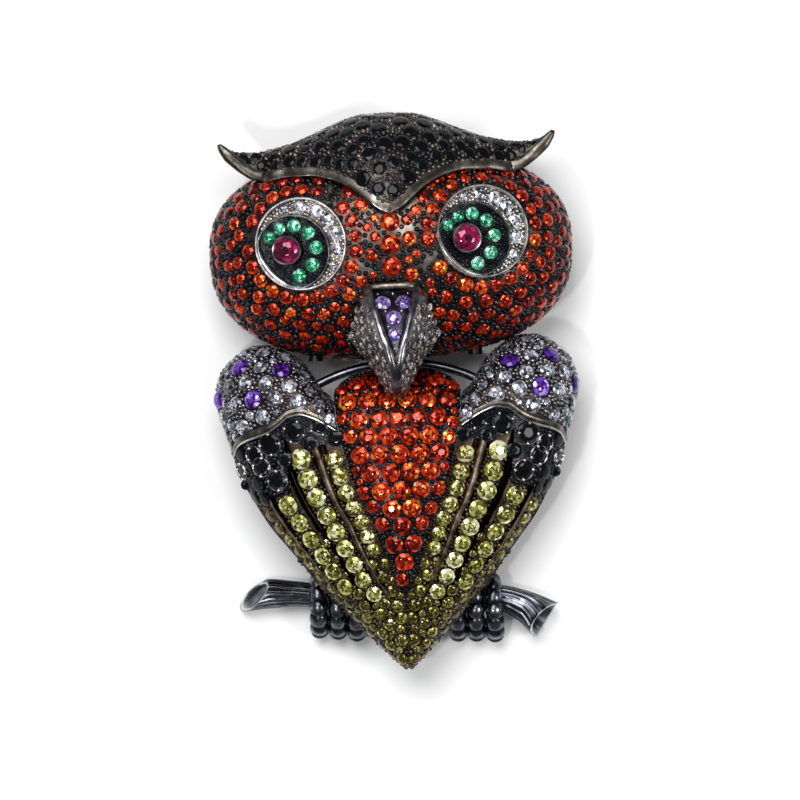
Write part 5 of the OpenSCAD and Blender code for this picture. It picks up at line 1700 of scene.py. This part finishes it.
# Columns: size, how far ahead, strength of the bark, and wear of the rings that hollow each end
START_RINGS = [
    (0.05, 0.55, 0, 0.30), (0.66, 0.50, 0, 0.34), (0.78, 0.12, 0, 0.75), (0.86, 0.0, 0, 0.95),
    (0.96, 0.02, 0.2, 0.6)]
END_RINGS = [
    (1.0, 0, 0.5, 0.6), (0.92, 0.0, 0, 0.9), (0.80, -0.1, 0, 0.5), (0.66, -0.9, 0, 0.1),
    (0.05, -1.1, 0, 0.05)]
branch_rings = ([(0, *row) for row in START_RINGS]
                + [(share, 1.0, 0.0, 1.0, 0.42) for share in np.linspace(0, 1, 110)[1:-1]]
                + [(1, *row) for row in END_RINGS])
branch_shape = loft(np.array([branch_ring(*row[:4]) for row in branch_rings]))
branch_wear = np.repeat([row[4] for row in branch_rings], BRANCH_SIDES)
make_piece("branch_casting", [part(*branch_shape, gunmetal, wear=branch_wear)], ["branch"],
           sharp=50)

# %% [markdown]
# ## The feet
# Three toes of each foot reach over the branch and hang down before the tail. Real ones are
# cast as a row of swellings with fine grooves between. So each toe is a sweep whose radius swells
# and narrows some seven times on its way, and a short bar joins the toes behind.

# %% The feet
TOE_D, TOE_BULGE, TOE_SPACE, HEEL_SHARE, FOOT_X = 1.35, 1.12, 0.16, 0.6, 6.25
TOE_R, SWELLS_A_ROW = TOE_D / 2, 1.12
# Columns: how far up and to the front of the branch's axis, and the thickness
TOE_ROWS = [(0, 0.92, 0.22, 0.80), (1, 0.72, 0.72, 0.95), (2, 0.15, 1.02, 1.00), (3, -0.50, 1.00, 1.05),
            (4, -1.12, 0.72, 1.10), (5, -1.58, 0.30, 1.12), (6, -1.86, -0.05, 0.85)]


def toe(x):
    share = x / BRANCH_L - BRANCH_START
    over = BRANCH_R * along(BRANCH_ROWS, share, 3) + TOE_R + FIT + 0.05
    t = np.linspace(0, 6, 110)
    axis = branch_axis(share)
    path = stack(x, axis[1] + over * along(TOE_ROWS, t, 1), axis[2] + over * along(TOE_ROWS, t, 2))
    ring = np.abs(np.sin(t * math.pi * SWELLS_A_ROW + 0.35))
    swell = 0.96 + 0.24 * (ring ** 0.5 - 0.5)
    end = np.clip(np.minimum(t / 0.5, (6 - t) / 0.45), 0, 1)
    r = TOE_R * 1.08 * along(TOE_ROWS, t, 3) * swell * np.maximum(1 - (1 - end) ** 2, 0.02) ** 0.5
    return wire(gunmetal, 0.12 + 0.42 * ring**3, path, np.array([0.0, 0.4, 1.0]), r, r, sides=22)


pitch = TOE_D * TOE_BULGE + TOE_SPACE
for side, name in SIDES:
    middle = side * FOOT_X
    share = middle / BRANCH_L - BRANCH_START
    heel_y = branch_axis(share)[1] + (BRANCH_R + TOE_R + FIT) * TOE_ROWS[1][1]
    heel_z = BRANCH_Z + (BRANCH_R + TOE_R) * TOE_ROWS[1][2]
    heel = stack(middle + np.linspace(-pitch, pitch, 12), heel_y, heel_z)
    heel_r = TOE_R * HEEL_SHARE
    make_piece(f"foot_{name}_casting", [
        *(toe(middle + k * pitch) for k in (-1, 0, 1)),
        wire(gunmetal, 0.3, heel, FLAT, heel_r, heel_r, sides=16)],
        [f"foot_{name}"])

# %% [markdown]
# ## Neck and pin
# A post joins the head to the breast, and a wire yoke crosses it from shoulder to shoulder, where
# its ends are soldered in. Both are drawn as sweeps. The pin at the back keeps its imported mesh,
# since it is plain wire, and only gets a metal of its own.

# %% The neck
NECK_R, NECK_IN_BODY, NECK_IN_HEAD = 1.3, 1.6, 0.3
YOKE_R, YOKE_BEND, YOKE_TURN = 0.4, 16, 27.5
neck_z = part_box("neck")[0][2] / MM + NECK_R
post_ends = BREAST_TOP - NECK_IN_BODY, BREAST_TOP + CHIN_GAP + WALL + NECK_IN_HEAD
post = stack(0, np.linspace(*post_ends, 12), neck_z)
yoke_z, yoke_y = HEAD_Z + 0.5, BREAST_TOP + CHIN_GAP * 0.54
angle = np.radians(90 + np.linspace(-YOKE_TURN, YOKE_TURN, 80))
yoke_path = stack(YOKE_BEND * np.cos(angle), yoke_y - YOKE_BEND + YOKE_BEND * np.sin(angle), yoke_z)
make_piece("neck_and_yoke", [
    wire(gunmetal, 0.35, post, FLAT, NECK_R, NECK_R, sides=40),
    wire(gunmetal, 0.40, yoke_path, FLAT, YOKE_R, YOKE_R, sides=20)], ["neck"])

# %% Metal for the pin
wire_plating = metal("wire_plating", [
    (0.0, (0.10, 0.09, 0.085)), (0.5, (0.22, 0.20, 0.18)), (1.0, (0.5, 0.47, 0.43))], patch=0.7)
pin = bpy.data.objects["pin_clasp"].data
pin.materials.clear()
pin.materials.append(wire_plating)
print("pin:", wire_plating.name)

# %% [markdown]
# ## Camera and light
# The photograph looks straight at the face of the brooch, which lies on its back, through a long
# lens, with the brooch turned by two and a half degrees. The light is a pale studio: a wide soft
# box above, a smaller one at the side, a small bright one that makes the flashes on the facets,
# and a pale floor that gives soft light back.

# %% Camera
PIXEL, PICTURE = 0.09, 800
MIDDLE_PX = (397, 391)  # Where the brooch's middle lies in the picture
ROLL = math.radians(2.5)
LENS, SENSOR, FOCUS_Z = 500, 36, 7
centre_px = (PICTURE / 2 - MIDDLE_PX[0], MIDDLE_PX[1] - PICTURE / 2)
centre_x = (centre_px[0] * math.cos(ROLL) + centre_px[1] * math.sin(ROLL)) * PIXEL
centre_y = (-centre_px[0] * math.sin(ROLL) + centre_px[1] * math.cos(ROLL)) * PIXEL
reach = PIXEL * PICTURE * LENS / SENSOR
camera = add_object("camera", bpy.data.cameras.new("camera"))
camera.data.lens, camera.data.sensor_width = LENS, SENSOR
camera.data.clip_start, camera.data.clip_end = 0.01, 5
camera.location = (centre_x * MM, centre_y * MM, (FOCUS_Z + reach) * MM)
camera.rotation_euler = (0, 0, -ROLL)
bpy.context.scene.camera = camera
print("camera", round(reach), "mm above the brooch")

# %% Floor and lights
def soft_box(name, place, size, power, target=(0, 0, 5)):
    """A square light, placed and sized in millimetres, that faces the target."""
    light = bpy.data.lights.new(name, "AREA")
    light.size, light.energy = size * MM, power
    lamp = add_object(name, light)
    lamp.location = Vector(place) * MM
    lamp.rotation_euler = (Vector(target) * MM - lamp.location).to_track_quat("-Z", "Y").to_euler()


HALF = 1200  # The floor reaches so far to each side
corners = [(-HALF, -HALF, 0), (HALF, -HALF, 0), (HALF, HALF, 0), (-HALF, HALF, 0)]
floor_mesh = new_mesh("floor", corners, [(0, 1, 2, 3)])
floor = add_object("floor", floor_mesh)
floor_paint, _, floor_shader = new_material("pale_floor")
floor_shader.inputs["Base Color"].default_value = (0.92, 0.92, 0.92, 1)
floor_shader.inputs["Roughness"].default_value = 0.9
floor_mesh.materials.append(floor_paint)
soft_box("soft_box_above", (-70, 160, 330), 240, 1.30)
soft_box("soft_box_side", (220, -50, 260), 100, 0.40)
soft_box("flash", (-120, -90, 380), 26, 0.30)
world = bpy.data.worlds.new("studio")
bpy.context.scene.world = world
world.use_nodes = True
background = world.node_tree.nodes["Background"]
background.inputs["Color"].default_value = (0.97, 0.98, 1.0, 1)
background.inputs["Strength"].default_value = 0.22
bpy.context.scene.view_settings.view_transform = "Standard"
